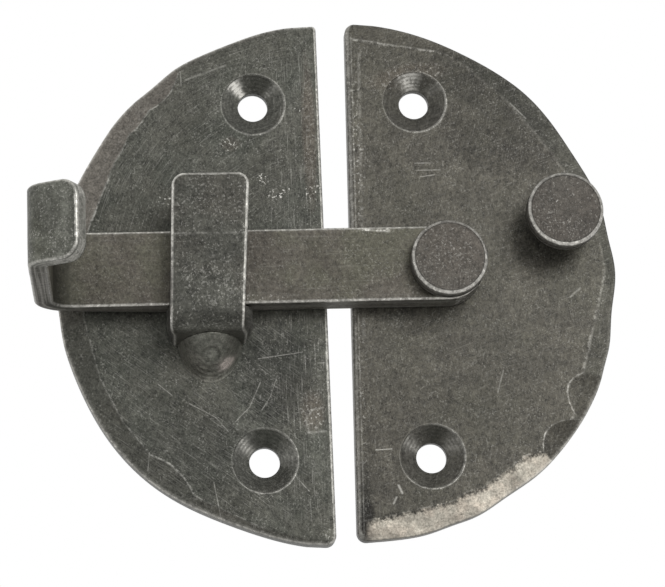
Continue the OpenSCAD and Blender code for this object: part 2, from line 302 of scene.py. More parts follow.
class Graph:
    """The nodes of one material or world."""

    def __init__(self, holder: bpy.types.Material | bpy.types.World) -> None:
        """Empties the nodes of a new material or world.

        Args:
            holder: what the nodes belong to.
        """
        holder.use_nodes = True
        self.holder = holder
        self.tree = holder.node_tree
        self.tree.nodes.clear()

    def raw(self, kind: str, settings: dict[str, object], values: dict[int | str, Value]) -> bpy.types.Node:
        """Adds any node.

        Args:
            kind: the node's type.
            settings: the node's own properties, which are set first.
            values: numbers, colours or fields for its inputs, by name or number.

        Returns:
            The node.
        """
        node = self.tree.nodes.new(kind)
        for key, value in settings.items():
            setattr(node, key, value)
        for key, value in values.items():
            if isinstance(value, Field):
                self.tree.links.new(value.socket, node.inputs[key])
            else:
                node.inputs[key].default_value = value
        return node

    def node(self, kind: str, settings: dict[str, object], values: dict[int | str, Value],
             output: int | str = 0) -> Field:
        """Adds any node and returns one of its outputs as a field."""
        return Field(self, self.raw(kind, settings, values).outputs[output])

    def vector(self, operation: str, *values: Value, output: int | str = 0) -> Field:
        """Adds a Vector Math node."""
        return self.node("ShaderNodeVectorMath", {"operation": operation}, dict(enumerate(values)), output)

    def scaled(self, vector: Field, factor: float) -> Field:
        """Returns vector times factor."""
        return self.node("ShaderNodeVectorMath", {"operation": "SCALE"}, {0: vector, "Scale": factor})

    def blend(self, amount: Value, first: Value, second: Value) -> Field:
        """Mixes two colours: first where amount is 0, second where it is 1."""
        inputs = {"Factor": amount, 6: first, 7: second}
        return self.node("ShaderNodeMix", {"data_type": "RGBA"}, inputs, output=2)

    def dimmed(self, colour: Value, by: Field) -> Field:
        """Returns a colour times a field."""
        return self.node("ShaderNodeMix", {"data_type": "RGBA", "blend_type": "MULTIPLY"},
                         {"Factor": 1.0, 6: colour, 7: self.together(by, by, by)}, output=2)

    def millimetres(self) -> Field:
        """Object coordinates in millimetres."""
        place_on = self.node("ShaderNodeTexCoord", {}, {}, output="Object")
        return self.scaled(place_on, 1 / MM)

    def axes(self, vector: Field) -> tuple[Field, Field, Field]:
        """The three components of a vector."""
        parts = self.raw("ShaderNodeSeparateXYZ", {}, {0: vector})
        return tuple(Field(self, parts.outputs[i]) for i in range(3))

    def together(self, x: Value, y: Value, z: Value = 0.0) -> Field:
        """A vector from three components."""
        return self.node("ShaderNodeCombineXYZ", {}, {0: x, 1: y, 2: z})

    def mark(self, mark: Mark) -> Field:
        """What the mesh carries at a point."""
        return self.node("ShaderNodeAttribute", {"attribute_name": mark.value}, {}, output="Fac")

    def noise(self, place_on: Field, scale: float, detail: float, rough: float, warp: float = 0.0) -> Field:
        """A noise between 0 and 1.

        Args:
            place_on: the coordinates it lies on.
            scale: features per unit of the coordinates.
            detail: number of finer layers.
            rough: strength of each finer layer against the one before.
            warp: how much it is distorted.

        Returns:
            The noise.
        """
        return self.node("ShaderNodeTexNoise", {},
                         {"Vector": place_on, "Scale": scale, "Detail": detail, "Roughness": rough,
                          "Distortion": warp})

    def stretched(self, place_on: Field, turn: float, length: float, width: float, shift: float) -> Field:
        """Coordinates for fine lines on a face that is looked at from the front.

        Args:
            place_on: coordinates in millimetres.
            turn: direction of the lines in degrees above level.
            length: length of a line in millimetres.
            width: width of a line in millimetres.
            shift: moves the pattern, so that two sets of lines differ.

        Returns:
            Coordinates in which a noise of scale 1 makes such lines.
        """
        x, y, z = self.axes(place_on)
        c, s = math.cos(math.radians(turn)), math.sin(math.radians(turn))
        along = (x * c + z * s) * (1 / length)
        across = (z * c - x * s) * (1 / width) + shift
        return self.together(along, across, y * 0.3)

    def scratch(self, place_on: Field, cut: "Scratch") -> Field:
        """One straight scratch on a front face.

        A point's foot on the line is at the share (point - start) . run / run . run, kept within 0 and 1.

        Args:
            place_on: coordinates in millimetres.
            cut: where the scratch runs and how wide it is.

        Returns:
            1 along the line from start to end, 0 beside it.
        """
        run = (cut.end_x - cut.start_x, 0.0, cut.end_z - cut.start_z)
        flat = self.vector("MULTIPLY", place_on, (1.0, 0.0, 1.0))
        away = self.vector("SUBTRACT", flat, (cut.start_x, 0.0, cut.start_z))
        share = self.node("ShaderNodeMath", {"operation": "DIVIDE", "use_clamp": True},
                          {0: self.vector("DOT_PRODUCT", away, run, output="Value"),
                           1: run[0] ** 2 + run[2] ** 2})
        foot = self.node("ShaderNodeVectorMath", {"operation": "SCALE"}, {0: run, "Scale": share})
        return self.vector("DISTANCE", away, foot, output="Value").ramp(0.0, cut.width, 1.0, 0.0)

    def finish(self, output: str, shader: bpy.types.NodeSocket) -> None:
        """Ends the graph: joins a shader to an output node of some kind."""
        self.tree.links.new(shader, self.raw(output, {}, {}).inputs["Surface"])

    def metal(self, colour: Field, rough: Field, metallic: float, bump: Field, bump_mm: float) -> None:
        """Ends the graph in a metal surface.

        Args:
            colour: base colour.
            rough: roughness.
            metallic: share of bare metal.
            bump: height from 0 to 1.
            bump_mm: how deep a height of 1 is.
        """
        relief = {"Height": bump, "Distance": bump_mm * MM, "Strength": 1.0}
        normal = self.node("ShaderNodeBump", {}, relief)
        shader = self.raw("ShaderNodeBsdfPrincipled", {},
                          {"Base Color": colour, "Roughness": rough, "Metallic": metallic, "Normal": normal})
        self.finish("ShaderNodeOutputMaterial", shader.outputs[0])


@dataclass(frozen=True)
class Grain:
    """A noise over a surface and the smooth step that it goes through.

    scale counts its features per mm, detail its octaves, rough how much the finer ones weigh, and warp how
    far it is bent. The step rises from bottom at low to top at high.
    """

    scale: float
    detail: float
    rough: float
    low: float
    high: float
    bottom: float = 0.0
    top: float = 1.0
    warp: float = 0.0

    def field(self, g: Graph, place_on: Field) -> Field:
        """The stepped noise."""
        noise = g.noise(place_on, self.scale, self.detail, self.rough, self.warp)
        return noise.ramp(self.low, self.high, self.bottom, self.top)


MOTTLE = Grain(0.22, 5, 0.66, 0.34, 0.66, warp=0.5)
STAIN = Grain(0.08, 4, 0.6, 0.42, 0.62)
SPECK_CLUMPS = Grain(0.35, 3, 0.6, 0.35, 0.7, bottom=0.3)
FLECKS = Grain(2.1, 2, 0.6, 0.57, 0.66)
SALT = Grain(3.3, 1, 0.6, 0.57, 0.7)
SALT_CLUMPS = Grain(0.3, 3, 0.6, 0.36, 0.62, bottom=0.25)
BRUSHED = Grain(1, 2, 0.6, 0.54, 0.74)
LAYERS = Grain(1, 2, 0.6, 0.48, 0.62)
# Noises of the ground facets' painted reflection.
REFLECTION_SPOTS = Grain(0.3, 4, 0.7, 0.33, 0.52, bottom=0.55)
REFLECTION_FACETS = Grain(0.17, 2, 0.5, 0.42, 0.58, bottom=0.8, top=1.26)
REFLECTION_WARMTH = Grain(0.5, 3, 0.6, 0.35, 0.75, top=0.8)


@dataclass(frozen=True)
class BrushLines:
    """A set of fine lines: direction in degrees, their size in mm, strength, and the stretch they cover.

    With a centre they run round it, as arcs. fade is how softly the stretch ends, and arc_r the radius at
    which an arc has its length.
    """

    turn: float
    length: float
    width: float
    strength: float
    low: Point = (-90.0, -90.0)
    high: Point = (90.0, 90.0)
    centre: Point | None = None
    fade: float = 6.0
    arc_r: float = 35.0

    def field(self, g: Graph, mm: Field, seed: float) -> Field:
        """Brightness of the lines.

        Args:
            g: the material's nodes.
            mm: coordinates in millimetres.
            seed: moves the pattern.

        Returns:
            0 between the lines and outside their stretch, up to strength on a line.
        """
        x, _, z = g.axes(mm)
        if self.centre is None:
            lines_on = g.stretched(mm, self.turn, self.length, self.width, seed)
        else:
            away_x, away_z = x - self.centre[0], z - self.centre[1]
            radius = (away_x * away_x + away_z * away_z) ** 0.5
            turn = g.node("ShaderNodeMath", {"operation": "ARCTAN2"}, {0: away_z, 1: away_x})
            lines_on = g.together(turn * (self.arc_r / self.length), radius * (1 / self.width) + seed, 0.0)
        (low_x, low_z), (high_x, high_z) = self.low, self.high
        inside = (x.ramp(low_x, low_x + self.fade) * x.ramp(high_x - self.fade, high_x, 1, 0)
                  * z.ramp(low_z, low_z + self.fade) * z.ramp(high_z - self.fade, high_z, 1, 0))
        return BRUSHED.field(g, lines_on) * inside * self.strength


@dataclass(frozen=True)
class Scratch:
    """One scratch from start to end in front-view mm: width in mm, brightness, and how broken it is."""

    start_x: float
    start_z: float
    end_x: float
    end_z: float
    width: float = 0.14
    bright: float = 0.5
    broken: float = 0.5


@dataclass(frozen=True)
class Patch:
    """A soft, broken patch of another tone on a front face.

    x, z, its two half sizes and turn place it in front-view mm and degrees. tone multiplies the brightness
    at its middle, redder shifts it towards rust, and specks scatters bright dots over it.
    """

    x: float
    z: float
    half_x: float
    half_z: float
    turn: float = 0.0
    tone: float = 1.0
    redder: float = 0.0
    specks: float = 0.0
    ragged: float = 0.9
    full: float = 0.15

    def field(self, g: Graph, x: Field, z: Field, broken: Field) -> Field:
        """How much of the patch is there, by (along / half_x)^2 + (across / half_z)^2.

        Args:
            g: the material's nodes; not used.
            x: distance to the right in mm.
            z: height in mm.
            broken: noise that makes the patch ragged.

        Returns:
            1 in its middle, 0 outside.
        """
        c, s = math.cos(math.radians(self.turn)), math.sin(math.radians(self.turn))
        off_x, off_z = x - self.x, z - self.z
        along = (off_x * c + off_z * s) * (1 / self.half_x)
        across = (off_z * c - off_x * s) * (1 / self.half_z)
        away = along * along + across * across + (broken - 0.5) * self.ragged
        return away.ramp(self.full, 1.0, 1.0, 0.0)


@dataclass(frozen=True)
class IronFinish:
    """Blackened and waxed forged iron, worn bright on its edges and on the ridges between hammer blows.

    dark, light and tint are the scale's colours and band that of a blow's face. The colour of ground metal
    carries a painted reflection of light from below, the colour of rubbed edges and specks is also that of
    painted glints, and one colour is that of painted shade. far colours take over between the two far
    depths, in mm in front of the plates' backs. The weights say how much the fine grit and the coarse grain
    darken or lighten the scale and the ground metal under its painted reflection.
    """

    name: str
    dark: Colour = (0.040, 0.042, 0.036)
    light: Colour = (0.085, 0.087, 0.078)
    tint: Colour = (0.075, 0.062, 0.050)
    tint_share: float = 0.35
    # Colour of rubbed edges and specks, and of the painted glints.
    worn: Colour = (0.80, 0.78, 0.72)
    # Colours of ground metal that carries a painted reflection of light from below.
    ground_reflection: Colour = (0.49, 0.455, 0.385)
    ground_reflection_warm: Colour = (0.54, 0.47, 0.39)
    band: Colour = (0.110, 0.098, 0.084)
    rust: Colour = (0.088, 0.066, 0.050)
    # Colour of painted shade.
    painted_shade_colour: Colour = (0.015, 0.016, 0.011)
    far_dark: Colour | None = None
    far_light: Colour | None = None
    far_depth: Point = (16.0, 24.0)
    grain: float = 0.9
    grain_mm: float = 0.34
    grit_weight: float = 2.1
    coarse_weight: float = 1.9
    speckle: float = 0.5
    speck_mm: float = 0.5
    salt: float = 0.35
    fleck_gain: float = 1.6
    shine_share: float = 0.36
    ground_reflection_grit: float = 1.9
    ground_reflection_coarse: float = 0.8
    layer_dark: float = 0.6
    rough: float = 0.42
    metallic: float = 0.75
    bump_mm: float = 0.06
    lines: tuple[BrushLines, ...] = ()
    scratches: tuple[Scratch, ...] = ()
    patches: tuple[Patch, ...] = ()

    def marks(self, g: Graph, mm: Field, grit: Field) -> Field:
        """Brightness of brush lines, scratches and the layers along a bent strap's side.

        Args:
            g: the material's nodes.
            mm: coordinates in millimetres.
            grit: the finest noise.

        Returns:
            Their sum, 0 where there are none.
        """
        total = grit * 0.0
        for number, brush in enumerate(self.lines):
            total = total + brush.field(g, mm, 7.3 * number)
        gaps = g.noise(mm, 1.1, 2.0, 0.6)
        for cut in self.scratches:
            total = total + g.scratch(mm, cut) * gaps.ramp(0.38, 0.58, 1 - cut.broken, 1.0) * cut.bright
        u, v, _ = g.axes(g.node("ShaderNodeUVMap", {"uv_map": "along"}, {}))
        layers = LAYERS.field(g, g.together(u * 0.04, v * 1.5))
        return total + layers * g.mark(Mark.LAYER) * (0.5 + grit * 0.9)

    def scale_colour(self, g: Graph, mm: Field, far: Field | None) -> Field:
        """Colour of the mottled and stained scale, before its grain.

        Args:
            g: the material's nodes.
            mm: coordinates in millimetres.
            far: share of the far colours, or None where the finish has none.

        Returns:
            The colour.
        """
        mottle = MOTTLE.field(g, mm)
        colour = g.blend(mottle, (*self.dark, 1), (*self.light, 1))
        if far is not None:
            colour = g.blend(far, colour, g.blend(mottle, (*self.far_dark, 1), (*self.far_light, 1)))
        return g.blend(STAIN.field(g, mm) * self.tint_share, colour, (*self.tint, 1))

    def ground_reflection_colour(self, g: Graph, mm: Field, grit: Field, coarse: Field) -> Field:
        """Colour of ground metal under a painted reflection: grainy, and uneven from facet to facet.

        Args:
            g: the material's nodes.
            mm: coordinates in millimetres.
            grit: the finest noise.
            coarse: the grain's noise.

        Returns:
            The colour.
        """
        glow = 1.0 + (grit - 0.5) * self.ground_reflection_grit + (coarse - 0.5) * self.ground_reflection_coarse
        glow = glow.at_least(0.25) * REFLECTION_FACETS.field(g, mm)
        hue = g.blend(REFLECTION_WARMTH.field(g, mm), (*self.ground_reflection, 1), (*self.ground_reflection_warm, 1))
        return g.dimmed(hue, glow)

    def material(self) -> bpy.types.Material:
        """Builds the node material: mottled scale, grain, patches, specks, marks, blows and rubbed edges,
        with painted glints, a painted reflection on ground faces and painted shade.

        Returns:
            The material.
        """
        g = Graph(bpy.data.materials.new(self.name))
        mm = g.millimetres()
        x, y, z = g.axes(mm)
        grit = g.noise(mm, 1 / self.grain_mm, 2.0, 0.7)
        coarse = g.noise(mm, 0.42 / self.grain_mm, 3.0, 0.7)
        speck = g.noise(mm, 1 / self.speck_mm, 3.0, 0.72).ramp(0.58, 0.74) * SPECK_CLUMPS.field(g, mm)
        salt, salt_clumps = SALT.field(g, mm), SALT_CLUMPS.field(g, mm)
        marks = self.marks(g, mm, grit)
        far = None
        if self.far_dark and self.far_light:
            far = (y * -1.0).ramp(*self.far_depth)
            speck = speck * (0.3 + far * 0.7)
            salt = salt * (1.0 + far * 2.6)
        colour = self.scale_colour(g, mm, far)

        tone = (1.0 + (grit - 0.5) * (self.grit_weight * self.grain)
                + (coarse - 0.5) * (self.coarse_weight * self.grain))
        tone = tone * (1.0 - g.mark(Mark.LAYER) * self.layer_dark)
        fleck = FLECKS.field(g, mm)
        flecks, red = 0.0 * fleck, 0.0 * grit
        for patch in self.patches:
            inside = patch.field(g, x, z, coarse)
            tone = tone * (1.0 + inside * (patch.tone - 1.0))
            red = red + inside * patch.redder
            flecks = flecks + inside * fleck * patch.specks
        colour = g.blend(red, colour, (*self.rust, 1))

        facet = g.mark(Mark.FACET) + (coarse - 0.5) * 0.10
        colour = g.blend(facet.ramp(-0.01, 0.05) * g.mark(Mark.TONE), colour, (*self.band, 1))
        colour = g.dimmed(colour, tone.at_least(0.2))
        shine = speck * self.speckle + salt * salt_clumps * self.salt + marks + flecks * self.fleck_gain
        colour = g.blend(shine.at_most(1.4) * self.shine_share, colour, (*self.worn, 1))

        # Ground faces of blows, brightened by a painted reflection of light from below.
        ground = (facet + (coarse - 0.5) * 0.28 + (grit - 0.5) * 0.25).ramp(-0.02, 0.22)
        ground_reflection = (ground * g.mark(Mark.REFLECTING_FACET) * REFLECTION_SPOTS.field(g, mm)).at_most(1.0)
        colour = g.blend(ground_reflection, colour, self.ground_reflection_colour(g, mm, grit, coarse))

        ridge = g.node("ShaderNodeMath", {"operation": "ABSOLUTE"}, {0: facet}).ramp(0.0, 0.05, 1.0, 0.0)
        ridge = ridge * g.mark(Mark.SHINE) * coarse.ramp(0.40, 0.62, 0.2, 1.0) * (0.35 + salt_clumps * 0.65)
        # Rubbed edges and ridges, with the painted glints that the mesh carries.
        edge = g.mark(Mark.WEAR_AND_GLINT) * (0.30 + coarse.ramp(0.3, 0.66) * 0.5 + fleck * 0.5)
        worn = edge.at_least(ridge).at_most(1.0)
        colour = g.blend(worn, colour, (*self.worn, 1))
        # Painted shade; it also makes the surface rougher below.
        colour = g.blend(g.mark(Mark.PAINTED_SHADE).at_most(1.0) * 0.8, colour, (*self.painted_shade_colour, 1))
        rough = (self.rough + (grit - 0.5) * 0.2 - worn * 0.12 - ground_reflection * 0.06
                 + g.mark(Mark.LAYER) * 0.8 + g.mark(Mark.PAINTED_SHADE) * 0.4)
        height = grit * 0.35 + coarse * 0.65 + marks * 0.2
        g.metal(colour, rough, self.metallic, height, self.bump_mm)
        return g.holder


@dataclass(frozen=True)
class Layout:
    """Main sizes of the latch in mm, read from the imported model."""

    left_edge: float
    right_edge: float
    plate_t: float
    bar_back: float
    bar_bottom: float
    bar_top: float
    pivot: Point
    stop: Point
    head_r: float
    head_front: float
    curl_x: float
    curl_out: float
    keeper_x: float
    keeper_low: float
    keeper_top: float
    keeper_out: float

    @staticmethod
    def read(frame: dict) -> "Layout":
        """Reads the sizes from the boxes of the CAD nodes and from the hinge.

        Args:
            frame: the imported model's frame.

        Returns:
            The sizes.
        """
        low_left, high_left = (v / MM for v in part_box("left_plate"))
        low_right, _ = (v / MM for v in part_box("right_plate"))
        low_bar, high_bar = (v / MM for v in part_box("latch_bar"))
        low_keeper, high_keeper = (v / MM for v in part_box("keeper"))
        low_pivot, high_pivot = (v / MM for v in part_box("pivot_rivet"))
        low_stop, high_stop = (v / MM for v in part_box("stop_stud"))
        hinge = frame["joints"][0]["pos_m"]
        return Layout(
            left_edge=high_left.x, right_edge=low_right.x, plate_t=-low_left.y,
            bar_back=-high_bar.y, bar_bottom=low_bar.z, bar_top=high_bar.z,
            pivot=(hinge[0] / MM, hinge[2] / MM),
            stop=((low_stop.x + high_stop.x) / 2, (low_stop.z + high_stop.z) / 2),
            head_r=(high_pivot.x - low_pivot.x) / 2, head_front=-low_pivot.y,
            curl_x=low_bar.x, curl_out=-low_bar.y,
            keeper_x=(low_keeper.x + high_keeper.x) / 2, keeper_low=low_keeper.z,
            keeper_top=high_keeper.z, keeper_out=-low_keeper.y)


@dataclass(frozen=True)
class Blow:
    """One hammer blow on the front of a plate's rim.

    angle is measured from level outwards; reach is how far it comes in from the rim and drop its depth at
    the rim, in mm. crown is the radius of a crowned hammer face, or 0 for a flat one. shine is how bright
    its ridge is, the sixth number how much of its face is ground bright and carries a painted reflection
    of light from below, and tone how much it differs from the plate.
    """

    angle: float
    reach: float
    drop: float
    crown: float = 0.0
    shine: float = 0.3
    # Share of the face that is ground bright and carries a painted reflection of light from below.
    ground_reflection: float = 0.0
    tone: float = 0.0

    def cut(self, u: Array, v: Array) -> Array:
        """Depth at u mm in from the rim and v mm along it, below 0 outside the blow."""
        trough = v ** 2 / (2 * self.crown) if self.crown else 0.0
        return self.drop * (1 - u / self.reach) - trough


@dataclass(frozen=True)
class Dent:
    """A flat hammered into a rim's outline: its angle and spread in degrees, and its depth in mm."""

    angle: float
    spread: float
    depth: float


LEFT_BLOWS = table(
    Blow,
    (-74, 0.9, 0.3, 0, 0.05, 0, 0.15), (-63, 1.6, 0.45, 0, 0.2, 0, 0.2),
    (-50, 3.9, 0.85, 45, 0.4, 0, 0.1), (-38, 3.4, 0.8, 0, 0.35, 0, 0.1),
    (-26, 3.5, 0.75, 0, 0.3, 0, 0.1), (-14, 4, 0.8, 0, 0.2, 0, 0.1), (-2, 4.2, 0.85, 0, 0.15, 0, 0.35),
    (11, 4.6, 0.85, 0, 0.25, 0, 0.75), (22, 4.4, 0.85, 0, 0.4, 0, 0.85),
    (33, 3.6, 0.8, 60, 0.35, 0, 0.85), (41, 3.4, 0.8, 60, 0.35, 0, 0.8),
    (49.5, 3, 0.75, 30, 0.4, 0, 0.7), (61, 0.9, 0.3, 0, 0.1, 0, 0.2), (72, 0.7, 0.25, 0, 0.05, 0, 0.2))
# The four lowest blows on the right plate carry a painted reflection of light from below on their ground
# faces.
RIGHT_BLOWS = table(
    Blow,
    (-78, 3.8, 0.85, 0, 0.1, 1), (-64, 3.8, 0.8, 40, 0.1, 0.9), (-55.5, 3.4, 0.75, 60, 0.1, 0.75),
    (-50, 3.5, 0.7, 30, 0.12, 0.66), (-39.3, 3.7, 0.95, 13, 0.35), (-27.3, 4.6, 0.9, 14),
    (-15, 3.2, 0.45, 0, 0.12, 0, 0.3), (-4, 1.6, 0.35, 0, 0.03, 0, 0.5),
    (8, 1.6, 0.35, 0, 0.03, 0, 0.5), (19, 2.6, 0.4, 0, 0.03, 0, 0.5), (29, 3, 0.4, 0, 0.03, 0, 0.5),
    (38, 3.5, 0.45, 0, 0.05, 0, 0.5), (48, 3.1, 0.4, 0, 0.05, 0, 0.5), (60, 1.6, 0.3, 0, 0.03, 0, 0.2),
    (70, 1.6, 0.3, 0, 0.08), (81, 3, 0.45))
LEFT_DENTS = table(
    Dent,
    (-68, 15, 0.9), (-21, 15, 0.45), (-6, 5, 0.35), (31, 14, 0.9), (50, 7, 0.65), (68, 12, 0.95),
    (87, 8, 0.4))
RIGHT_DENTS = table(
    Dent,
    (-87, 16, 0.9), (-69, 5, 0.4), (-56, 7, 0.55), (-20, 4, 0.3), (-8, 8, 1), (9, 7, 0.75),
    (30, 13, 1), (62, 15, 0.7))


@dataclass(frozen=True)
class SinkGlint:
    """A bright streaked spot on a countersink: which hole, its angle and spread in degrees, and strength."""

    upper: bool
    angle: float
    spread: float
    strength: float


@dataclass
class HalfPlate:
    """A half-round plate with a hammered rim and two countersunk screw holes.

    Its shape is worked out with the straight edge on p = 0 and p running outwards, q up. Sizes are in mm
    and angles in degrees. rim_glint is the angle at which the rim shines most and its least brightness.
    """

    name: str
    edge_x: float
    outward: int
    blows: tuple[Blow, ...]
    dents: tuple[Dent, ...]
    screw_in: float
    lean: float
    thickness: float
    rim_glint: Point = (-40.0, 0.1)
    glint_spread: float = 22.0
    sink_glints: tuple[SinkGlint, ...] = ()
    radius: float = 42.9
    top_corner_r: float = 1.5
    low_corner_r: float = 1.5
    edge_shine: float = 0.45
    border_shine: float = 0.2
    rim_end: float = 84.0
    screw_pitch: float = 58.2
    screw_r: float = 2.4
    sink_r: float = 5.05
    sink_rim: float = 0.5
    # Angle of the painted shade on each countersink's upper wall.
    sink_shade_angle: float = 80.0
    sink_half_angle: float = 59.0
    lip: float = 0.1
    turning_pitch: float = 0.52
    turning_depth: float = 0.012
    rim_round: float = 0.3
    edge_round: float = 0.75
    outline_gap: float = 0.035
    back_gap: float = 0.03
    softness: float = 0.02
    deepest: float = 1.6
    far_facet: float = 0.6
    crowding: float = 0.09
    rim_points: int = 190
    corner_points: int = 14
    edge_points: int = 76
    split_points: int = 56
    sheet_rows: int = 84
    cone_rows: int = 34

    def rim(self, a: Array) -> Array:
        """Radius of the rim at angle a in degrees: the circle less depth * exp(-((a - angle) / spread)^2)."""
        dents = sum(d.depth * np.exp(-((a - d.angle) / d.spread) ** 2) for d in self.dents)
        return self.radius - self.outline_gap - dents

    def turned(self, p: Array, q: Array, degrees: float) -> tuple[Array, Array]:
        """Turns points clockwise about the middle of the straight edge."""
        c, s = math.cos(math.radians(degrees)), math.sin(math.radians(degrees))
        return p * c + q * s, q * c - p * s

    def half_outline(self, upper: bool) -> tuple[Array, Array]:
        """Outline from the rim's outermost point to the middle of the straight edge, by way of one corner.

        Args:
            upper: True for the upper corner.

        Returns:
            The points' p and q, along the rim, round the corner's small arc and down the straight edge.
        """
        r = self.top_corner_r if upper else self.low_corner_r
        a = np.linspace(0, self.rim_end, self.rim_points)
        rim = self.rim(a if upper else -a)
        corner_q = math.sqrt((rim[-1] - r) ** 2 - r ** 2)
        turn = sweep_angle(math.degrees(math.atan2(corner_q, r)), 180, self.corner_points)
        edge = np.linspace(corner_q, 0, self.edge_points)[1:]
        p = np.concatenate([rim * np.cos(np.radians(a)), r + r * np.cos(turn), np.zeros_like(edge)])
        q = np.concatenate([rim * np.sin(np.radians(a)), corner_q + r * np.sin(turn), edge])
        return p, q if upper else -q

    def rounding(self, p: Array) -> Array:
        """Radius of the worn edge: wider along the straight edge than along the rim."""
        return self.rim_round + (self.edge_round - self.rim_round) * smooth_step(-p, -2.5, -0.4)

    def front(self, p: Array, q: Array) -> tuple[Array, dict[Mark, Array]]:
        """Depth of the hammered front over the back, before its edges are rounded, and what it carries.

        The deepest blow counts, and k * log(1 + sum of exp(cut / k)) rounds the ridges between them.

        Args:
            p: distances from the straight edge's line.
            q: heights.

        Returns:
            The depths, and the marks of shine, painted reflection on ground faces, tone, facet, and glinting
            rim.
        """
        own_p, own_q = self.turned(p, q, -self.lean)
        cuts = []
        for blow in self.blows:
            a = math.radians(blow.angle)
            u = float(self.rim(np.array(blow.angle))) - (own_p * math.cos(a) + own_q * math.sin(a))
            cuts.append(blow.cut(u, own_q * math.cos(a) - own_p * math.sin(a)))
        facet = np.max(cuts, axis=0)
        cuts = np.stack([np.zeros_like(p), *cuts]) / self.softness
        top = cuts.max(axis=0)
        weight = np.exp(cuts - top)
        fall = self.softness * (top + np.log(weight.sum(axis=0)))
        weight = weight[1:] / weight[1:].sum(axis=0)
        marks = {mark: np.tensordot([getattr(blow, key) for blow in self.blows], weight, 1)
                 for mark, key in ((Mark.SHINE, "shine"), (Mark.REFLECTING_FACET, "ground_reflection"), (Mark.TONE, "tone"))}
        marks[Mark.FACET] = np.clip(facet, -self.far_facet, self.far_facet)
        # The painted reflection on ground faces fades out towards the straight edge.
        marks[Mark.REFLECTING_FACET] = marks[Mark.REFLECTING_FACET] * smooth_step(own_p, 1.0, 3.0)
        angle = np.degrees(np.arctan2(own_q, own_p))
        inward = np.minimum(self.rim(angle) - np.hypot(own_p, own_q), 3 * own_p)
        marks[Mark.WEAR_AND_GLINT] = self.border_shine * smooth_step(-inward, -0.7, -0.2) * self.glint(angle)
        waviness = 0.05 * swell(p, q, 9.0, 3) + 0.02 * swell(p, q, 3.0, 5)
        return self.thickness - np.clip(fall, 0, self.deepest) - waviness, marks

    def glint(self, angle: Array) -> Array:
        """How bright the rim's edge is: brightest round one angle, dull elsewhere."""
        middle, least = self.rim_glint
        return least + (1 - least) * np.exp(-((angle - middle) / self.glint_spread) ** 2)

    def world(self, p: Array, depth: Array, q: Array) -> Array:
        """Turns plate coordinates into front-view points."""
        return place(self.edge_x + self.outward * p, depth, q)

    def inset(self, p: Array, q: Array, amount: Array) -> tuple[Array, Array]:
        """Moves an outline inwards, square to its own direction.

        Args:
            p: the outline's distances from the straight edge.
            q: its heights.
            amount: how far each point moves.

        Returns:
            The moved points' p and q.
        """
        run_p, run_q = np.gradient(p), np.gradient(q)
        size = np.hypot(run_p, run_q)
        return p - amount * run_q / size, q + amount * run_p / size

    def build(self) -> bpy.types.Object:
        """Makes the plate: two sheets that surround the screw holes, a wall along the outline, and the back.

        Returns:
            The piece.
        """
        skin = Skin(self.name)
        for upper in (True, False):
            self.add_half(skin, upper)
        return skin.build()

    def add_half(self, skin: Skin, upper: bool) -> None:
        """Adds the upper or the lower half of the plate to a skin.

        The sheet is a grid of spokes from the screw hole to the outline and to the line that splits the
        plate. The wall carries the edge's profile along the outline.

        Args:
            skin: the plate's skin.
            upper: True for the upper half.
        """
        p, q = self.turned(*self.half_outline(upper), self.lean)
        sign = 1 if upper else -1
        amount = self.rounding(p) * sign
        inner_p, inner_q = self.inset(p, q, amount)
        inner_p[0], inner_q[0] = p[0] - abs(amount[0]), q[0]
        inner_p[-1], inner_q[-1] = abs(amount[-1]), q[-1]
        share = np.linspace(0, 1, self.split_points)[1:-1]

        def closed(edge: Array) -> Array:
            """Joins an outline's two ends by the line that splits the plate."""
            return np.concatenate([edge, edge[-1] + (edge[0] - edge[-1]) * share, edge[:1]])

        centre = (self.screw_in, sign * self.screw_pitch / 2)
        away_p, away_q = closed(inner_p) - centre[0], closed(inner_q) - centre[1]
        reach = np.hypot(away_p, away_q)
        spokes = (away_p / reach, away_q / reach)
        lip_depth = self.add_sheet(skin, reach, spokes, centre)
        glints = [glint for glint in self.sink_glints if glint.upper == upper]
        self.add_sink(skin, lip_depth, spokes, centre, glints)
        self.add_back(skin, closed(p), closed(q), spokes, centre)
        self.add_wall(skin, p, q, inner_p, inner_q, np.abs(amount))

    def around(self, spokes: tuple[Array, Array]) -> tuple[Array, Array]:
        """Angle of each spoke in the front view in degrees, and how brightly a sink's rim shines there."""
        about = np.degrees(np.arctan2(spokes[1], self.outward * spokes[0]))[None, :]
        return about, 0.55 + 0.45 * np.cos(np.radians(about + 35))

    def add_sheet(self, skin: Skin, reach: Array, spokes: tuple[Array, Array], centre: Point) -> Array:
        """Adds the front sheet of one half, from the countersink's lip to the sheet's border.

        Args:
            skin: the plate's skin.
            reach: length of each spoke.
            spokes: its direction, p and q.
            centre: the screw hole's centre.

        Returns:
            The sheet's depth along the lip.
        """
        even = np.linspace(0, 1, self.sheet_rows)[:, None]
        share = even - self.crowding * np.sin(math.tau * even) / 2
        radius = (self.sink_r + self.lip) + share * (reach - self.sink_r - self.lip)
        p, q = centre[0] + radius * spokes[0], centre[1] + radius * spokes[1]
        depth, marks = self.front(p, q)
        _, lit_side = self.around(spokes)
        ring = np.exp(-((radius - self.sink_r - self.lip) / 0.11) ** 2)
        marks[Mark.WEAR_AND_GLINT] = marks[Mark.WEAR_AND_GLINT] + self.sink_rim * lit_side * ring
        skin.add(self.world(p, depth, q), marks)
        return depth[0]

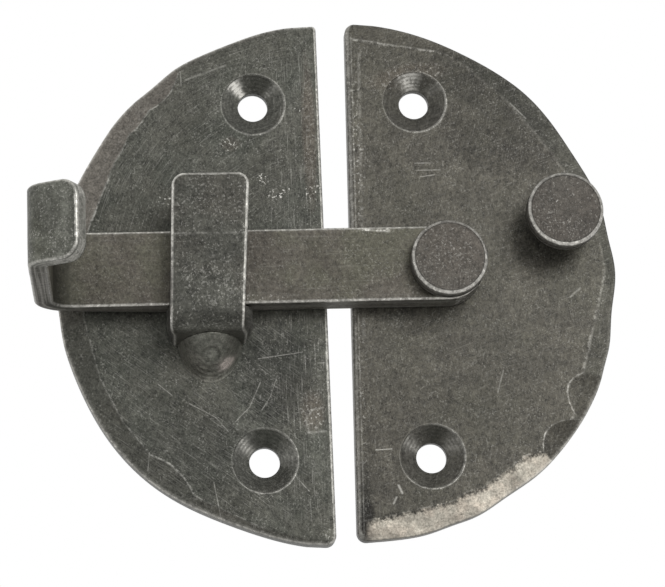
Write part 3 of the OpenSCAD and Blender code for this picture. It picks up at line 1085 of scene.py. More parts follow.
    def add_sink(self, skin: Skin, lip_depth: Array, spokes: tuple[Array, Array], centre: Point,
                 glints: list[SinkGlint]) -> None:
        """Adds the countersink and the bore of one screw hole.

        The profile runs round the lip, down the cone with its turning marks, and along the bore.

        Args:
            skin: the plate's skin.
            lip_depth: depth of the front sheet along the lip.
            spokes: the points' directions, p and q.
            centre: the screw hole's centre.
            glints: the bright spots on this cone.
        """
        slope = math.tan(math.radians(self.sink_half_angle))
        bend = np.linspace(0, math.pi / 2, 4)
        cone_r = np.linspace(self.sink_r, self.screw_r, self.cone_rows)[1:]
        cone_fall = 0.5 * self.lip + (self.sink_r - cone_r) / slope
        radius = np.concatenate([self.sink_r + self.lip * (1 - np.sin(bend)), cone_r,
                                 np.full(4, self.screw_r)])[:, None]
        fall = np.concatenate([
            0.5 * self.lip * (1 - np.cos(bend)), cone_fall,
            np.linspace(cone_fall[-1] + 0.1, self.thickness - self.back_gap, 4)])[:, None]
        on_cone = smooth_step(-radius, -self.sink_r, 0.2 - self.sink_r) * (radius > self.screw_r + 0.05)
        stripe = (1 - np.cos((self.sink_r - radius) * math.tau / self.turning_pitch)) / 2 * on_cone
        level = np.maximum(lip_depth - fall - self.turning_depth * stripe, self.back_gap)
        level[-1] = self.back_gap
        about, lit_side = self.around(spokes)
        lit = self.sink_rim * lit_side * np.exp(-((radius - self.sink_r) / 0.12) ** 2) + 0.05 * on_cone
        for glint in glints:
            away = (about - glint.angle + 180) % 360 - 180
            spot = glint.strength * np.exp(-(away / glint.spread) ** 2)
            lit = lit + spot * on_cone * (0.35 + 0.65 * stripe)
        # Painted shade on the cone's upper wall and in the troughs of its turning marks.
        top = np.exp(-(((about - self.sink_shade_angle + 180) % 360 - 180) / 34) ** 2)
        sink_shade = 0.14 * stripe + 0.55 * top * on_cone
        skin.add(self.world(centre[0] + radius * spokes[0], level, centre[1] + radius * spokes[1]),
                 {Mark.WEAR_AND_GLINT: lit, Mark.PAINTED_SHADE: sink_shade, Mark.FACET: -self.far_facet})

    def add_back(self, skin: Skin, ring_p: Array, ring_q: Array, spokes: tuple[Array, Array],
                 centre: Point) -> None:
        """Adds the flat back sheet of one half, from the bore's ring to the outline.

        Args:
            skin: the plate's skin.
            ring_p: the closed outline's distances from the straight edge.
            ring_q: its heights.
            spokes: directions of the points of the bore's ring, p and q.
            centre: the screw hole's centre.
        """
        hole_p, hole_q = centre[0] + self.screw_r * spokes[0], centre[1] + self.screw_r * spokes[1]
        share = np.array([0.0, 0.3, 0.7, 1.0])[:, None]
        p, q = hole_p + share * (ring_p - hole_p), hole_q + share * (ring_q - hole_q)
        skin.add(self.world(p, np.full_like(p, self.back_gap), q)[::-1], {Mark.FACET: -self.far_facet})

    def add_wall(self, skin: Skin, p: Array, q: Array, inner_p: Array, inner_q: Array, size: Array) -> None:
        """Adds the rounded edge and the side wall of one half, from the front sheet to the back.

        Args:
            skin: the plate's skin.
            p: the outline's own coordinates.
            q: the outline's own coordinates.
            inner_p: where the rounding starts on the front sheet.
            inner_q: where the rounding starts on the front sheet.
            size: radius of the rounding at each point.
        """
        top, marks = self.front(inner_p, inner_q)
        t = np.linspace(0, math.pi / 2, 7)[:, None]
        out, down = 1 - np.sin(t), 1 - np.cos(t)
        low = top - size
        wall = np.array([0.35, 0.7, 1.0])[:, None]
        flat = np.ones_like(wall)
        rows = np.concatenate([
            self.world(p + (inner_p - p) * out, top - size * down, q + (inner_q - q) * out),
            self.world(p * flat, low + (self.back_gap - low) * wall, q * flat)])
        own_p, own_q = self.turned(p, q, -self.lean)
        along_edge = self.edge_shine * smooth_step(-own_p, -1.2, -0.3)
        glint = self.glint(np.degrees(np.arctan2(own_q, own_p))) + along_edge
        crest = np.concatenate([0.12 + 0.6 * np.sin(2 * t), 0.06 * flat]) * glint
        crest[0] = marks[Mark.WEAR_AND_GLINT]
        spread = np.ones_like(crest)
        carried = {mark: marks[mark] * spread for mark in (Mark.SHINE, Mark.REFLECTING_FACET, Mark.TONE, Mark.FACET)}
        carried[Mark.REFLECTING_FACET][4:] *= 0.2
        skin.add(rows, {Mark.WEAR_AND_GLINT: crest, **carried})


@dataclass
class Strap:
    """A flat strap carried along a path, with rounded edges and round or square ends.

    The path is a row of ribs. Each rib runs through the strap's thickness, from its inner to its outer
    face, and the strap's width lies across it. A section is the loop inner face, corner, side, corner,
    outer face and back, and a point of it lies at frac * (half width - inset) across and at
    a + b * thickness through the strap.
    """

    name: str
    inner: Array
    outer: Array
    middle: Array
    half: Array
    across: tuple[float, float, float]
    inner_round: float = 0.5
    outer_round: float = 0.4
    start_round: float | None = None
    end_round: float | None = None
    face_points: int = 25
    side_points: int = 9
    corner_points: int = 6
    end_steps: int = 11
    worn_inner: float = 0.8
    worn_outer: float = 0.6
    worn_side: float = 0.04
    worn_end: float = 0.7
    layered: float = 0.0
    layered_far: float = 0.3
    dent_depth: float = 0.05
    dent_pitch: float = 5.0
    bulge: Array | float = 0.0
    shade: Array | float = 0.0
    side_glow: Array | float = 0.0
    seed: int = 1

    def loop(self) -> dict[str, Array]:
        """Works out the section's loop.

        Returns:
            The loop's frac, inset, a, b, how worn it is, and side, which is 1 on the strap's two sides.
        """
        f = np.linspace(-1, 1, self.face_points)
        t = np.linspace(0, math.pi / 2, self.corner_points)
        s = np.linspace(0, 1, self.side_points + 2)[1:-1]
        ri, ro = self.inner_round, self.outer_round
        one = np.ones_like
        crest_i = self.worn_inner * (0.06 + 0.94 * np.sin(2 * t) ** 1.2)
        crest_o = self.worn_outer * (0.06 + 0.94 * np.sin(2 * t) ** 1.2)
        quiet = 0 * s + self.worn_side
        parts = [
            (f, ri * one(f), 0 * f, 0 * f, 0 * f),
            (one(t), ri * (1 - np.sin(t)), ri * (1 - np.cos(t)), 0 * t, crest_i),
            (one(s), 0 * s, ri - (ri + ro) * s, s, quiet),
            (one(t), ro * (1 - np.cos(t)), -ro * (1 - np.sin(t)), one(t), crest_o),
            (f[::-1], ro * one(f), 0 * f, one(f), 0 * f),
            (-one(t), ro * (1 - np.sin(t)), -ro * (1 - np.cos(t)), one(t), crest_o),
            (-one(s), 0 * s, ri - (ri + ro) * s[::-1], s[::-1], quiet),
            (-one(t), ri * (1 - np.cos(t)), ri * (1 - np.sin(t)), 0 * t, crest_i)]
        joined = [np.concatenate([part[k] for part in parts]) for k in range(5)]
        sides = [np.full(len(part[0]), float(k in (2, 6))) for k, part in enumerate(parts)]
        return dict(zip(("frac", "inset", "a", "b", "worn", "side"), [*joined, np.concatenate(sides)]))

    def rows(self, loop: dict[str, Array]) -> tuple[Array, Array, Array, Array, Array]:
        """Works out every section.

        A rounded end adds sections that turn by a quarter: the half width shrinks to h - r + r cos and the
        section moves out by r sin, with r less the inset.

        Args:
            loop: the section's loop.

        Returns:
            The ribs' inner and outer ends, half width less inset, shift along the path, and the run.
        """
        length = np.concatenate([[0.0], np.cumsum(np.linalg.norm(np.diff(self.middle, axis=0), axis=1))])
        inset = loop["inset"][None, :]
        inner, outer = self.inner, self.outer
        bulge = self.bulge + np.zeros_like(self.half)
        width = self.half[:, None] - inset + bulge[:, None] * np.minimum(1, 4 - 4 * loop["b"])[None, :]
        shift = np.zeros_like(width)
        turn = np.linspace(0, math.pi / 2, self.end_steps + 1)[1:, None]
        for at_start, r in ((True, self.start_round), (False, self.end_round)):
            if r is None:
                continue
            end_width = self.half[0 if at_start else -1] - r + (r - inset) * np.cos(turn)
            end_shift = (r - inset) * np.sin(turn)
            if at_start:
                width, shift = np.vstack([end_width[::-1], width]), np.vstack([-end_shift[::-1], shift])
            else:
                width, shift = np.vstack([width, end_width]), np.vstack([shift, end_shift])
            more = (self.end_steps, 0) if at_start else (0, self.end_steps)
            inner, outer = (np.pad(side, (more, (0, 0)), mode="edge") for side in (inner, outer))
            length = np.pad(length, more, mode="edge")
        return inner, outer, width, shift, length

    def build(self) -> bpy.types.Object:
        """Makes the strap: its long skin and the two end caps.

        Returns:
            The piece.
        """
        loop = self.loop()
        inner, outer, width, shift, length = self.rows(loop)
        first = self.middle[1] - self.middle[0]
        last = self.middle[-1] - self.middle[-2]
        first, last = first / np.linalg.norm(first), last / np.linalg.norm(last)
        thickness = np.linalg.norm(outer - inner, axis=1)[:, None]
        through = (outer - inner) / thickness
        run = np.where((np.arange(len(inner)) < len(inner) / 2)[:, None], first, last)
        dent = self.dent_depth * swell(length[:, None] + shift, loop["frac"][None, :] * width,
                                       self.dent_pitch, self.seed)
        level = loop["a"][None, :] + np.where(loop["b"] < 0.5, dent, -dent) + loop["b"][None, :] * thickness
        points = (inner[:, None, :] + level[..., None] * through[:, None, :]
                  + (loop["frac"][None, :] * width)[..., None] * np.array(self.across)
                  + shift[..., None] * run[:, None, :])
        points = np.concatenate([points, points[:, :1]], axis=1)
        worn, side, b = (np.concatenate([loop[key], loop[key][:1]]) for key in ("worn", "side", "b"))
        steps = np.linalg.norm(np.diff(points[len(points) // 2], axis=0), axis=1)
        round_it = np.concatenate([[0.0], np.cumsum(steps)])
        length = length[:, None] + np.hstack([shift, shift[:, :1]])
        along = np.stack(np.broadcast_arrays(length, round_it), -1)
        forged_out = smooth_step(points[..., 1], -12.0, -8.0)
        layer = side[None, :] * (self.layered * (1 - forged_out) + self.layered_far * forged_out)
        added = [0 if end is None else self.end_steps for end in (self.start_round, self.end_round)]
        shade, glow = (np.pad(mark + np.zeros_like(self.half), added, mode="edge")
                       for mark in (self.shade, self.side_glow))
        skin = Skin(self.name)
        skin.add(points, {Mark.WEAR_AND_GLINT: worn[None, :] + glow[:, None] * side[None, :], Mark.LAYER: layer,
                          Mark.PAINTED_SHADE: shade[:, None] * (b < 0.5)[None, :]}, along)
        self.add_cap(skin, points[0], self.start_round is not None, glow[0])
        self.add_cap(skin, points[-1], self.end_round is not None, glow[-1])
        return skin.build()

    def add_cap(self, skin: Skin, ring: Array, rounded: bool, glow: float) -> None:
        """Closes an end with a patch that meets the ring all round.

        The ring's two faces and its two sides are the patch's borders. A point is the blend of the faces
        plus the blend of what the sides differ from it.

        Args:
            skin: the strap's skin.
            ring: the end section's points, with the first one again at the end.
            rounded: True for a rounded end, which is worn.
            glow: how much brighter the end's sides are.
        """
        n, turn = self.face_points, 2 * self.corner_points + self.side_points
        front, back = ring[None, :n], ring[None, n + turn:2 * n + turn][:, ::-1]
        right, left = ring[n - 1:n + turn + 1, None], ring[2 * n + turn - 1:, None][::-1]
        u = np.linspace(0, 1, n)[None, :, None]
        v = np.linspace(0, 1, turn + 2)[:, None, None]
        faces = (1 - v) * front + v * back
        grid = faces + (1 - u) * (left - faces[:, :1]) + u * (right - faces[:, -1:])
        worn = np.pad(np.full(turn, self.worn_end), 1) * (2 * v[:, 0, 0] - 1) ** 2 + glow
        skin.add(grid, {Mark.WEAR_AND_GLINT: worn[:, None] * rounded})


def arc_points(centre: Point, radius: float, start: float, end: float, count: int) -> Array:
    """Returns count points on an arc in a plane, from start to end degrees."""
    a = sweep_angle(start, end, count)
    return np.stack([centre[0] + radius * np.cos(a), centre[1] + radius * np.sin(a)], axis=-1)


@dataclass
class LatchBar:
    """The bar: a round end on the pivot, a straight run, and the finger curl bent out of its thinned end."""

    layout: Layout
    curl_t: float = 3.0
    taper: float = 16.0
    foot_r: float = 3.0
    top_r: float = 0.8
    arm_lean: float = 28.0
    arm_flat: float = 6.117
    arm_corner: float = 2.8
    step: float = 0.45

    def ribs(self) -> tuple[Array, Array]:
        """Works out the plan, from the arm's tip to the pivot: arm, bend, leg, bend and bar.

        Returns:
            The inner face's and the outer face's points as (x, depth); along the bar these are its front
            and its back.
        """
        m = self.layout
        thin_back = BAR_FRONT_MM - self.curl_t
        foot_out, top_out = self.foot_r + self.curl_t, self.top_r + self.curl_t
        foot = (m.curl_x + foot_out, thin_back + foot_out)
        lean = math.radians(self.arm_lean)
        direction = np.array([math.cos(lean), math.sin(lean)])
        square = np.array([math.sin(lean), -math.cos(lean)])
        end_y = m.curl_out - self.arm_flat * direction[1]
        top = (m.curl_x + top_out, end_y - top_out * math.cos(lean))
        arm_end = np.array(top) + top_out * -square
        straight = self.arm_flat - self.arm_corner
        share = np.linspace(1, 0, max(3, int(straight / self.step)))[:, None]
        arm_outer = arm_end + direction * straight * share
        arm_inner = arm_outer + square * self.curl_t
        bends = [arc_points(top, r, 90 + self.arm_lean, 180, 15)[1:] for r in (self.top_r, top_out)]
        leg_y = np.linspace(top[1], foot[1], int((top[1] - foot[1]) / self.step))[1:]
        legs = [np.stack([np.full_like(leg_y, x), leg_y], -1) for x in (m.curl_x + self.curl_t, m.curl_x)]
        feet = [arc_points(foot, r, 180, 270, 24)[1:] for r in (self.foot_r, foot_out)]
        bar_x = np.linspace(foot[0], m.pivot[0], int((m.pivot[0] - foot[0]) / self.step))[1:]
        fall = np.clip((bar_x - foot[0]) / self.taper, 0, 1)
        bar_inner = np.stack([bar_x, np.full_like(bar_x, BAR_FRONT_MM)], -1)
        bar_outer = np.stack([bar_x, thin_back + (m.bar_back - thin_back) * fall], -1)
        return (np.vstack([arm_inner, bends[0], legs[0], feet[0], bar_inner]),
                np.vstack([arm_outer, bends[1], legs[1], feet[1], bar_outer]))

    def build(self) -> bpy.types.Object:
        """Makes the bar's strap.

        Returns:
            The piece.
        """
        m = self.layout
        inner, outer = self.ribs()
        mid_z = (m.bar_bottom + m.bar_top) / 2
        half = np.full(len(inner), (m.bar_top - m.bar_bottom) / 2)
        paths = (inner, outer, (inner + outer) / 2)
        inside, outside, middle = (place(flat[:, 0], flat[:, 1], mid_z) for flat in paths)
        from_corner = np.hypot(inner[:, 0] - m.curl_x - self.curl_t, inner[:, 1] - BAR_FRONT_MM)
        shade = 0.5 * smooth_step(-from_corner, -3.4, -1.9) + 0.08 * smooth_step(-from_corner, -5.5, -3.0)
        return Strap("forged_bar", inside, outside, middle, half, (0.0, 0.0, 1.0),
                     start_round=self.arm_corner, end_round=half[-1], seed=11, inner_round=0.45,
                     outer_round=0.45, layered=0.5, worn_inner=0.9, worn_side=0.1, shade=shade,
                     side_glow=0.35 * smooth_step(inner[:, 1], 31.5, 33.5)).build()


@dataclass
class Hook:
    """The keeper: a foot out of the plate, a sharp bend, and a leg that stands up in front of the bar."""

    layout: Layout
    strap_t: float = 5.0
    inner_r: float = 1.0
    outer_r: float = 3.0
    lean: float = 1.2
    top_half: float = 6.05
    neck_half: float = 5.7
    foot_half: float = 6.65
    plate_half: float = 6.25
    corner: float = 2.0
    step: float = 0.4

    def build(self) -> bpy.types.Object:
        """Makes the hook's strap; its ribs lie in the plane of depth and height.

        Returns:
            The piece.
        """
        m = self.layout
        low, back, front = m.keeper_low, m.keeper_out - self.strap_t, m.keeper_out
        end = m.keeper_top - self.corner
        sides = []
        for shelf, leg, r in ((low + self.strap_t, back, self.inner_r), (low, front, self.outer_r)):
            centre = (leg - r, shelf + r)
            foot_n = int((back - self.inner_r - m.plate_t) / self.step)
            leg_n = int((end - low - self.strap_t - self.inner_r) / self.step)
            sides.append(np.vstack([
                np.stack([np.linspace(m.plate_t, centre[0], foot_n), np.full(foot_n, shelf)], -1),
                arc_points(centre, r, -90, 0, 20)[1:],
                np.stack([np.full(leg_n, leg), np.linspace(centre[1], end, leg_n)], -1)[1:]]))
        inner, outer = sides
        climb = np.clip((outer[:, 1] - low) / (m.keeper_top - low), 0, 1)
        foot_share = smooth_step(outer[:, 0], m.plate_t, m.plate_t + 4)
        neck_share = smooth_step(outer[:, 0], BAR_FRONT_MM + 0.6, front - 0.8)
        half = self.neck_half + (self.top_half - self.neck_half) * climb
        bulge = self.plate_half + (self.foot_half - self.plate_half) * foot_share - self.neck_half
        x = m.keeper_x + self.lean * (climb - 0.5) * neck_share
        paths = (inner, outer, (inner + outer) / 2)
        inside, outside, middle = (place(x, flat[:, 0], flat[:, 1]) for flat in paths)
        return Strap("forged_hook", inside, outside, middle, half, (1.0, 0.0, 0.0), end_round=self.corner,
                     seed=23, inner_round=0.35, outer_round=0.5, worn_inner=0.5, worn_outer=1.05,
                     bulge=bulge * (1 - neck_share)).build()


@dataclass
class WeldBead:
    """The weld that fills the corner under the hook's foot: a bulging fillet with faint ripples.

    reach is how far it runs out along the foot, drop how far down the plate, and crown how much it bulges.
    The ripples' middle lies middle_up mm above the middle of its slope. The glint is at (x, down) of it.
    """

    layout: Layout
    half_w: float = 4.95
    reach: float = 8.8
    drop: float = 6.0
    crown: float = 1.0
    ripple: float = 0.02
    ripple_pitch: float = 1.3
    middle_up: float = 1.9
    glint: Point = (2.5, 0.8)
    glint_size: Point = (0.95, 1.2)
    glint_gain: float = 4.5
    across_points: int = 90
    down_points: int = 70

    def build(self) -> bpy.types.Object:
        """Makes the bead.

        The surface runs over t across the bead and s from the foot to the plate. Its chord shrinks into the
        corner as (1 - t^2)^0.6, runs out along the plate as (1 - s)^1.6, a crown of 4 s (1 - s)(1.5 - s)
        bulges it, and ripples circle a point near its middle.

        Returns:
            The piece.
        """
        m = self.layout
        t = np.sin(np.linspace(-math.pi / 2, math.pi / 2, self.across_points))[None, :]
        s = np.linspace(0, 1, self.down_points)[:, None]
        size = np.maximum(1 - t ** 2, 0) ** 0.6
        off_x = self.half_w * t + 0 * s
        slope = math.hypot(self.reach, self.drop)
        down = (s - 0.5) * slope
        from_middle = np.hypot(off_x, down + self.middle_up)
        hump = 4 * s * (1 - s)
        rings = -self.ripple * np.cos(from_middle * math.tau / self.ripple_pitch) * hump ** 0.5
        rise = self.crown * hump * (1.5 - s) + rings
        x = m.keeper_x + off_x
        depth = m.plate_t + size * ((1 - s) ** 1.6 * self.reach + self.drop / slope * rise)
        z = m.keeper_low - size * (s * self.drop + self.reach / slope * rise)
        shine = np.exp(-(((off_x - self.glint[0]) / self.glint_size[0]) ** 2
                         + ((down - self.glint[1]) / self.glint_size[1]) ** 2))
        sparkle = 0.4 + 0.6 * swell(x * 3, down * 3, 1.4, 8)
        # Painted shade in the ripples' troughs and over the bead's upper part, under the hook's foot.
        weld_shade = 0.4 * np.exp(-((from_middle - 1.35) / 0.25) ** 2) + 0.2 * np.exp(
            -((from_middle - 2.6) / 0.3) ** 2) + 0.4 * smooth_step(-down, 0.8, 4.0)
        skin = Skin("weld_bead")
        skin.add(place(x, depth, z), {Mark.WEAR_AND_GLINT: shine * sparkle * self.glint_gain, Mark.PAINTED_SHADE: weld_shade})
        skin.add(np.stack([place(x[0], depth[0], z[0]), place(x[0], m.plate_t, m.keeper_low + 0 * x[0]),
                           place(x[-1], depth[-1], z[-1])]))
        return skin.build()


@dataclass
class RivetPiece:
    """A shouldered rivet: flat worn head, shank, and a peened tail flush with the plate's back."""

    name: str
    layout: Layout
    centre: Point
    shank_r: float
    tail_r: float = 3.2
    tenon_r: float = 2.3
    head_t: float = 3.0
    worn_round: float = 0.55
    crown: float = 0.05
    waist: float = 0.06
    dent_depth: float = 0.03
    turns: int = 160

    def build(self) -> bpy.types.Object:
        """Makes the rivet as a profile of (radius, depth) turned about its axis.

        Returns:
            The piece.
        """
        m = self.layout
        r, front, w = m.head_r, m.head_front, self.worn_round
        back = front - self.head_t
        face_r = np.linspace(0, r - w, 30)
        face = np.stack([face_r, front - self.crown * (face_r / r) ** 4], -1)
        edge = arc_points((r - w, front - w - self.crown), w, 90, 0, 9)
        side_r = r - self.waist * np.sin(np.linspace(0, math.pi, 7))[1:-1]
        side = np.stack([side_r, np.linspace(front - w, back + w, 7)[1:-1]], -1)
        under = arc_points((r - w, back + w), w, 0, -90, 6)
        shank = np.array([[self.shank_r + 0.15, back], [self.shank_r, back - 0.15], [self.shank_r, m.plate_t],
                          [self.tenon_r, m.plate_t - 0.4], [self.tenon_r, 0.9], [self.tail_r, 0.12],
                          [self.tail_r - 0.12, 0.0], [0.0, 0.0]])
        profile = np.vstack([face, edge, side, under, shank])
        a = sweep_angle(0, 360, self.turns + 1)[None, :]
        radius, depth = profile[:, :1], profile[:, 1:]
        x = self.centre[0] + radius * np.cos(a)
        z = self.centre[1] + radius * np.sin(a)
        level = depth - self.dent_depth * swell(x, z, 4.0, 31) * (radius < r - w) * (depth > back)
        worn = np.concatenate([
            np.zeros(len(face) - 1), [0.1], 0.1 + 0.85 * np.sin(np.linspace(0.3, math.pi - 0.2, len(edge))),
            (0.5, 0.4, 0.25, 0.15, 0.1), np.full(len(under), 0.3), np.zeros(len(shank))])
        skin = Skin(self.name)
        # Rubbed rim, with a painted highlight that is brighter on one side of the head.
        skin.add(place(x, level, z), {Mark.WEAR_AND_GLINT: worn[:, None] * (0.72 - 0.28 * np.sin(a + 0.3))})
        return skin.build()


@dataclass
class Studio:
    """White background, pale floor, soft lamps and the camera of the photo."""

    focal_px: float = 2500.0
    camera_mm: tuple[float, float, float] = (-31.89, -383.48, -102.36)
    pitch: float = 14.645
    yaw: float = 4.563
    roll: float = -2.399
    sensor_mm: float = 36.0
    floor_z: float = -0.17
    floor_half: float = 1.6
    sky_light: float = 0.8
    lamp_distance: float = 0.9
    lamp_size: float = 0.36

    def camera(self) -> None:
        """Places the camera: pitch above level, yaw to the right of +Y, then roll about its own axis."""
        pitch, yaw, roll = (math.radians(a) for a in (self.pitch, self.yaw, self.roll))
        ahead = Vector((math.sin(yaw) * math.cos(pitch), math.cos(yaw) * math.cos(pitch), math.sin(pitch)))
        level = Vector((math.cos(yaw), -math.sin(yaw), 0))
        upright = level.cross(ahead)
        right = math.cos(roll) * level + math.sin(roll) * upright
        up = math.cos(roll) * upright - math.sin(roll) * level
        data = bpy.data.cameras.new("camera")
        data.sensor_fit = "HORIZONTAL"
        data.sensor_width = self.sensor_mm
        data.lens = self.focal_px / PHOTO_WIDTH * self.sensor_mm
        data.clip_start = 0.01
        camera = bpy.data.objects.new("camera", data)
        camera.matrix_world = Matrix.Translation(Vector(self.camera_mm) * MM) @ Matrix(
            (right, up, -ahead)).transposed().to_4x4()
        bpy.context.scene.collection.objects.link(camera)
        bpy.context.scene.camera = camera

    def lamp(self, name: str, direction: tuple[float, float, float], watts: float) -> None:
        """Hangs one square soft lamp that faces the latch.

        Args:
            name: the lamp's name.
            direction: from the latch towards the lamp.
            watts: its power.
        """
        data = bpy.data.lights.new(name, "AREA")
        data.size = self.lamp_size
        data.energy = watts
        lamp = bpy.data.objects.new(name, data)
        lamp.location = Vector(direction).normalized() * self.lamp_distance
        lamp.rotation_euler = lamp.location.to_track_quat("Z", "Y").to_euler()
        bpy.context.scene.collection.objects.link(lamp)

    def background(self) -> None:
        """A world that camera, glossy and transmission rays see as white, and that lights softly."""
        world = bpy.data.worlds.new("studio")
        bpy.context.scene.world = world
        g = Graph(world)
        rays = g.raw("ShaderNodeLightPath", {}, {}).outputs
        kinds = ("Is Camera Ray", "Is Glossy Ray", "Is Transmission Ray")
        camera, glossy, clear = (Field(g, rays[kind]) for kind in kinds)
        strength = g.node("ShaderNodeMapRange", {}, {"Value": camera.at_least(glossy.at_least(clear)),
                                                     "To Min": self.sky_light, "To Max": 1.0})
        sky = g.raw("ShaderNodeBackground", {}, {"Color": (1, 1, 1, 1), "Strength": strength})
        g.finish("ShaderNodeOutputWorld", sky.outputs[0])

    def floor(self) -> None:
        """A pale floor below the latch, which can be seen through from underneath."""
        mesh = bpy.data.meshes.new("floor")
        side, low = self.floor_half, self.floor_z
        mesh.from_pydata([(-side, -side, low), (side, -side, low), (side, side, low), (-side, side, low)],
                         [], [(0, 1, 2, 3)])
        g = Graph(bpy.data.materials.new("pale_floor"))
        pale = g.node("ShaderNodeBsdfDiffuse", {}, {"Color": (0.86, 0.86, 0.86, 1)})
        clear = g.node("ShaderNodeBsdfTransparent", {}, {})
        below = g.node("ShaderNodeNewGeometry", {}, {}, output="Backfacing")
        mix = g.raw("ShaderNodeMixShader", {}, {0: below, 1: pale, 2: clear})
        g.finish("ShaderNodeOutputMaterial", mix.outputs[0])
        mesh.materials.append(g.holder)
        floor = bpy.data.objects.new("floor", mesh)
        bpy.context.scene.collection.objects.link(floor)

    def build(self) -> None:
        """Sets up camera, world, floor and lamps."""
        self.camera()
        self.background()
        self.floor()
        self.lamp("key_lamp", (0.40, -1.0, 0.31), 2.3)
        self.lamp("low_lamp", (0.57, -0.82, -0.47), 3.0)
        bpy.context.scene.view_settings.view_transform = "Standard"


def dress(piece: bpy.types.Object, body: str, node: str, finish: IronFinish) -> None:
    """Gives a piece its finish and lets it stand for a CAD node.

    Args:
        piece: the new mesh object.
        body: the CAD body it moves with.
        node: the CAD node it replaces.
        finish: its finish.
    """
    piece.data.materials.append(finish.material())
    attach(piece, body)
    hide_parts(node)


LEFT_GLINTS = table(
    SinkGlint,
    (True, 131, 11, 2.6), (True, 40, 9, 0.35), (False, 142, 16, 0.7), (False, 10, 22, 0.25))
RIGHT_GLINTS = table(
    SinkGlint,
    (True, 97, 20, 1.9), (True, 35, 14, 0.2), (False, 148, 14, 0.5), (False, 30, 20, 0.3))
LEFT_FINISH = IronFinish(
    "left_plate_iron", dark=(0.042, 0.044, 0.036), light=(0.066, 0.067, 0.056), tint=(0.062, 0.056, 0.045),
    band=(0.140, 0.127, 0.110), tint_share=0.25, speckle=0.2, salt=0.3,
    lines=table(
        BrushLines,
        (90, 5, 0.22, 0.28, (-14, -42), (0, 42)), (-38, 4, 0.18, 0.24, (-42, -42), (-4, -4)),
        (-25, 3, 0.20, 0.12, (-36, -42), (-2, -10)), (70, 3, 0.18, 0.08),
        (0, 5, 0.22, 0.22, (-45, 0), (-4, 44), (-2.45, 0))),
    scratches=table(
        Scratch,
        (-2.95, -12, -2.8, -36, 0.22, 0.6, 0.8), (-17.5, -22.9, -15.2, -20.6, 0.14, 0.55),
        (-15.2, -20.6, -13.4, -16.7), (-13.3, -21.1, -11.9, -19),
        (-11.9, -19, -10.7, -15.7, 0.14, 0.35), (-24.5, -19.8, -20.5, -22.1, 0.14, 0.6),
        (-20.5, -22.1, -18.6, -24.4), (-29.3, -16.6, -27.2, -18.4), (-13.6, -12.9, -6.7, -12),
        (-30.9, -27.4, -31.2, -30.1), (-21.1, -32.3, -20.1, -38.1), (-8.5, -31.6, -6.4, -34.1),
        (-4.3, -13.8, -3.2, -13.8), (-6.3, -22.6, -5.5, -21.3, 0.3, 0.45, 0.8),
        (-5.5, -21.3, -3.8, -21, 0.3, 0.45, 0.8), (-6.5, -22.9, -6.1, -24.9, 0.3, 0.4, 0.8),
        (-6.1, -24.9, -3.4, -24.7, 0.3, 0.3, 0.8), (-23.8, 33.4, -17.3, 35.8, 0.3, 0.35),
        (-24.5, 32.5, -24.6, 34.8)),
    patches=table(
        Patch,
        (-11, -15, 8, 10, 0, 0.52), (-21, -28, 15, 8, -35, 0.76), (-5, -29, 1.6, 13, 0, 1.2, 0, 0.1),
        (-5.4, -21.5, 2.4, 4, 0, 1, 0.3, 0.35), (-4.2, 24, 1.4, 15, 0, 1, 0.35, 0.15),
        (-8, 14, 7, 11, 0, 0.84), (-3.4, -40.8, 1.5, 1.1, 0, 1.6, 0, 0.4),
        (-16.8, 22.4, 2, 1.5, 0, 0.9, 0.2, 0.8), (-11.9, 16.4, 1.2, 1.3, 60, 1, 0, 1),
        (-9.4, 14.1, 2.4, 1.1, 15, 1, 0, 1), (-27.5, 13.2, 1.7, 1.1, 0, 1, 0, 0.8),
        (-3.9, 14.2, 1.6, 2, 0, 1, 0, 0.9), (-5.8, 28.1, 0.9, 0.8, 0, 0.7, 0, 0.8),
        (-4.1, -17, 1.3, 16, 0, 1, 0, 0.12), (-8, -34, 6, 7, 0, 0.88)))
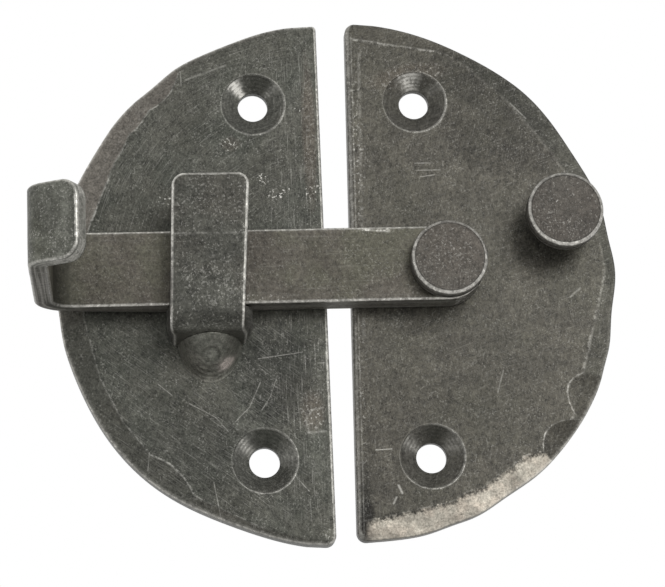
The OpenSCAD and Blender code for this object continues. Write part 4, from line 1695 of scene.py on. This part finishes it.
RIGHT_FINISH = IronFinish(
    "right_plate_iron", dark=(0.047, 0.044, 0.036), light=(0.060, 0.056, 0.045), tint=(0.050, 0.051, 0.037),
    band=(0.036, 0.037, 0.030), tint_share=0.2, speckle=0.3, salt=0.22,
    lines=table(BrushLines, (90, 4, 0.25, 0.22, (1, -42), (8, 42)), (20, 3, 0.2, 0.1), (75, 3, 0.2, 0.1)),
    scratches=table(
        Scratch,
        (12.6, 18.7, 15, 18.7), (12.6, 17.5, 16.6, 17.5), (13.3, 16.4, 15.7, 16.7),
        (3.2, 41, 1.85, -41, 0.2, 0.3, 0.7), (4.4, 39, 3.1, -10, 0.45, 0.2, 1),
        (7.5, -33.6, 8, -34.8, 0.3, 0.8, 0), (6.6, -36.4, 7.1, -35.4, 0.25, 0.6, 0),
        (4.2, -27.9, 6.7, -27.8, 0.15, 0.7, 0), (24.9, -15.7, 23.8, -19.3, 0.2, 0.35),
        (36.3, -4, 38, -2.6, 0.25), (28.6, 28.6, 31, 26, 0.2, 0.4)),
    patches=table(
        Patch,
        (2.3, -39, 1.9, 4.5, 8, 0.3), (6.4, -38.3, 1.6, 0.7, 5, 0.45), (23.2, -34.4, 1.6, 1, 40, 0.5),
        (12, 33.5, 8, 2.5, 10, 1.05, 0.2, 0.25), (25, 27, 17, 11, -42, 0.64),
        (10, 40.3, 10, 1.8, -7, 1.4), (19.5, 28.5, 7, 1.8, -28, 1.3), (39.5, -12.5, 2, 2.4, 0, 0.8),
        (3.6, 24, 1.2, 16, 1, 1.1, 0, 0.25), (3.2, -30, 1.8, 9, 0, 0.85),
        (2.9, 10, 1, 34, 1, 1, 0, 0.2), (2.4, -20, 0.8, 20, 1, 1, 0, 0.2), (10.7, -7.2, 6, 3, 0, 0.82),
        (24, 5, 7, 5, -20, 1.12), (20, -20, 16, 8, 30, 0.93), (22.9, -34, 1.4, 0.9, 30, 0.5),
        (2.4, -36, 1.2, 7, 0, 0.6)))
BAR_FINISH = IronFinish(
    "bar_iron", dark=(0.056, 0.050, 0.041), light=(0.075, 0.068, 0.056), tint=(0.066, 0.067, 0.046),
    grain=0.75,
    lines=table(BrushLines, (0, 7, 0.28, 0.1)),
    far_dark=(0.066, 0.067, 0.056), far_light=(0.135, 0.137, 0.117), far_depth=(30.0, 33.5),
    tint_share=0.5, speckle=0.8, salt=0.22,
    patches=table(
        Patch,
        (-34, 0.7, 13, 9, 0, 1.2), (18.6, -4.9, 1.7, 0.8, 20, 1, 0, 1.5),
        (-13, -4.6, 5, 0.9, 0, 1.1, 0, 0.4), (5.5, 6, 3, 0.7, 0, 1, 0, 0.8)),
    scratches=table(
        Scratch,
        (3.6, 6.2, 7.4, 5.9, 0.3, 0.7, 0.4), (18.6, -3.6, 20.9, -2.4, 0.6, 0.9, 0.8)))
HOOK_FINISH = IronFinish(
    "hook_iron", dark=(0.038, 0.038, 0.032), light=(0.058, 0.058, 0.049), speckle=0.7, tint_share=0.15,
    salt=0.4, scratches=table(
        Scratch,
        (-26.5, 4.6, -16, 4.5, 0.3, 0.25, 0.9)),
    patches=table(
        Patch,
        # The second patch is painted light: it brightens the underside of the hook's foot.
        (-21, -3.4, 6, 5, 0, 1.05, 0, 0.2), (-21.1, -10.9, 8.5, 1.6, 0, 1.8)))
# The weld's colours are painted lighter than the plates' to stand in for light from below on its downward
# face, and its rubbed colour is that of its painted glint.
WELD_FINISH = IronFinish(
    "weld_iron", dark=(0.170, 0.172, 0.147), light=(0.262, 0.262, 0.226), speckle=0.3, rough=0.40,
    worn=(0.90, 0.80, 0.74))
RIVET_FINISH = IronFinish(
    "rivet_iron", dark=(0.044, 0.040, 0.034), light=(0.060, 0.055, 0.047), speckle=0.8, tint_share=0.2,
    salt=0.25, patches=table(
        Patch,
        (35, 8.1, 9, 9, 0, 0.78), (16.4, 2, 4, 2, 0, 1, 0, 0.2)))


def main() -> None:
    """Builds the latch around the frame."""
    logging.basicConfig(level=logging.INFO, format="%(name)s: %(message)s")
    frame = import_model()
    layout = Layout.read(frame)
    Studio().build()

    left = HalfPlate("hammered_left_plate", layout.left_edge, -1, LEFT_BLOWS, LEFT_DENTS,
                     screw_in=10.6, lean=0.0, thickness=layout.plate_t, sink_glints=LEFT_GLINTS,
                     top_corner_r=0.7, edge_round=0.45, edge_shine=0.3, rim_glint=(-40.0, 0.75))
    right = HalfPlate("hammered_right_plate", RIGHT_EDGE_MM, 1, RIGHT_BLOWS, RIGHT_DENTS,
                      screw_in=11.5, lean=1.0, thickness=layout.plate_t, sink_glints=RIGHT_GLINTS)
    pivot = RivetPiece("pivot", layout, layout.pivot, shank_r=3.0)
    stop = RivetPiece("stop", layout, layout.stop, shank_r=3.5)
    dress(left.build(), "plates", "left_plate", LEFT_FINISH)
    dress(right.build(), "plates", "right_plate", RIGHT_FINISH)
    dress(Hook(layout).build(), "plates", "keeper", HOOK_FINISH)
    dress(WeldBead(layout).build(), "plates", "keeper_weld", WELD_FINISH)
    dress(LatchBar(layout).build(), "bar", "latch_bar", BAR_FINISH)
    dress(pivot.build(), "plates", "pivot_rivet", RIVET_FINISH)
    dress(stop.build(), "plates", "stop_stud", RIVET_FINISH)


if __name__ == "__main__":
    main()
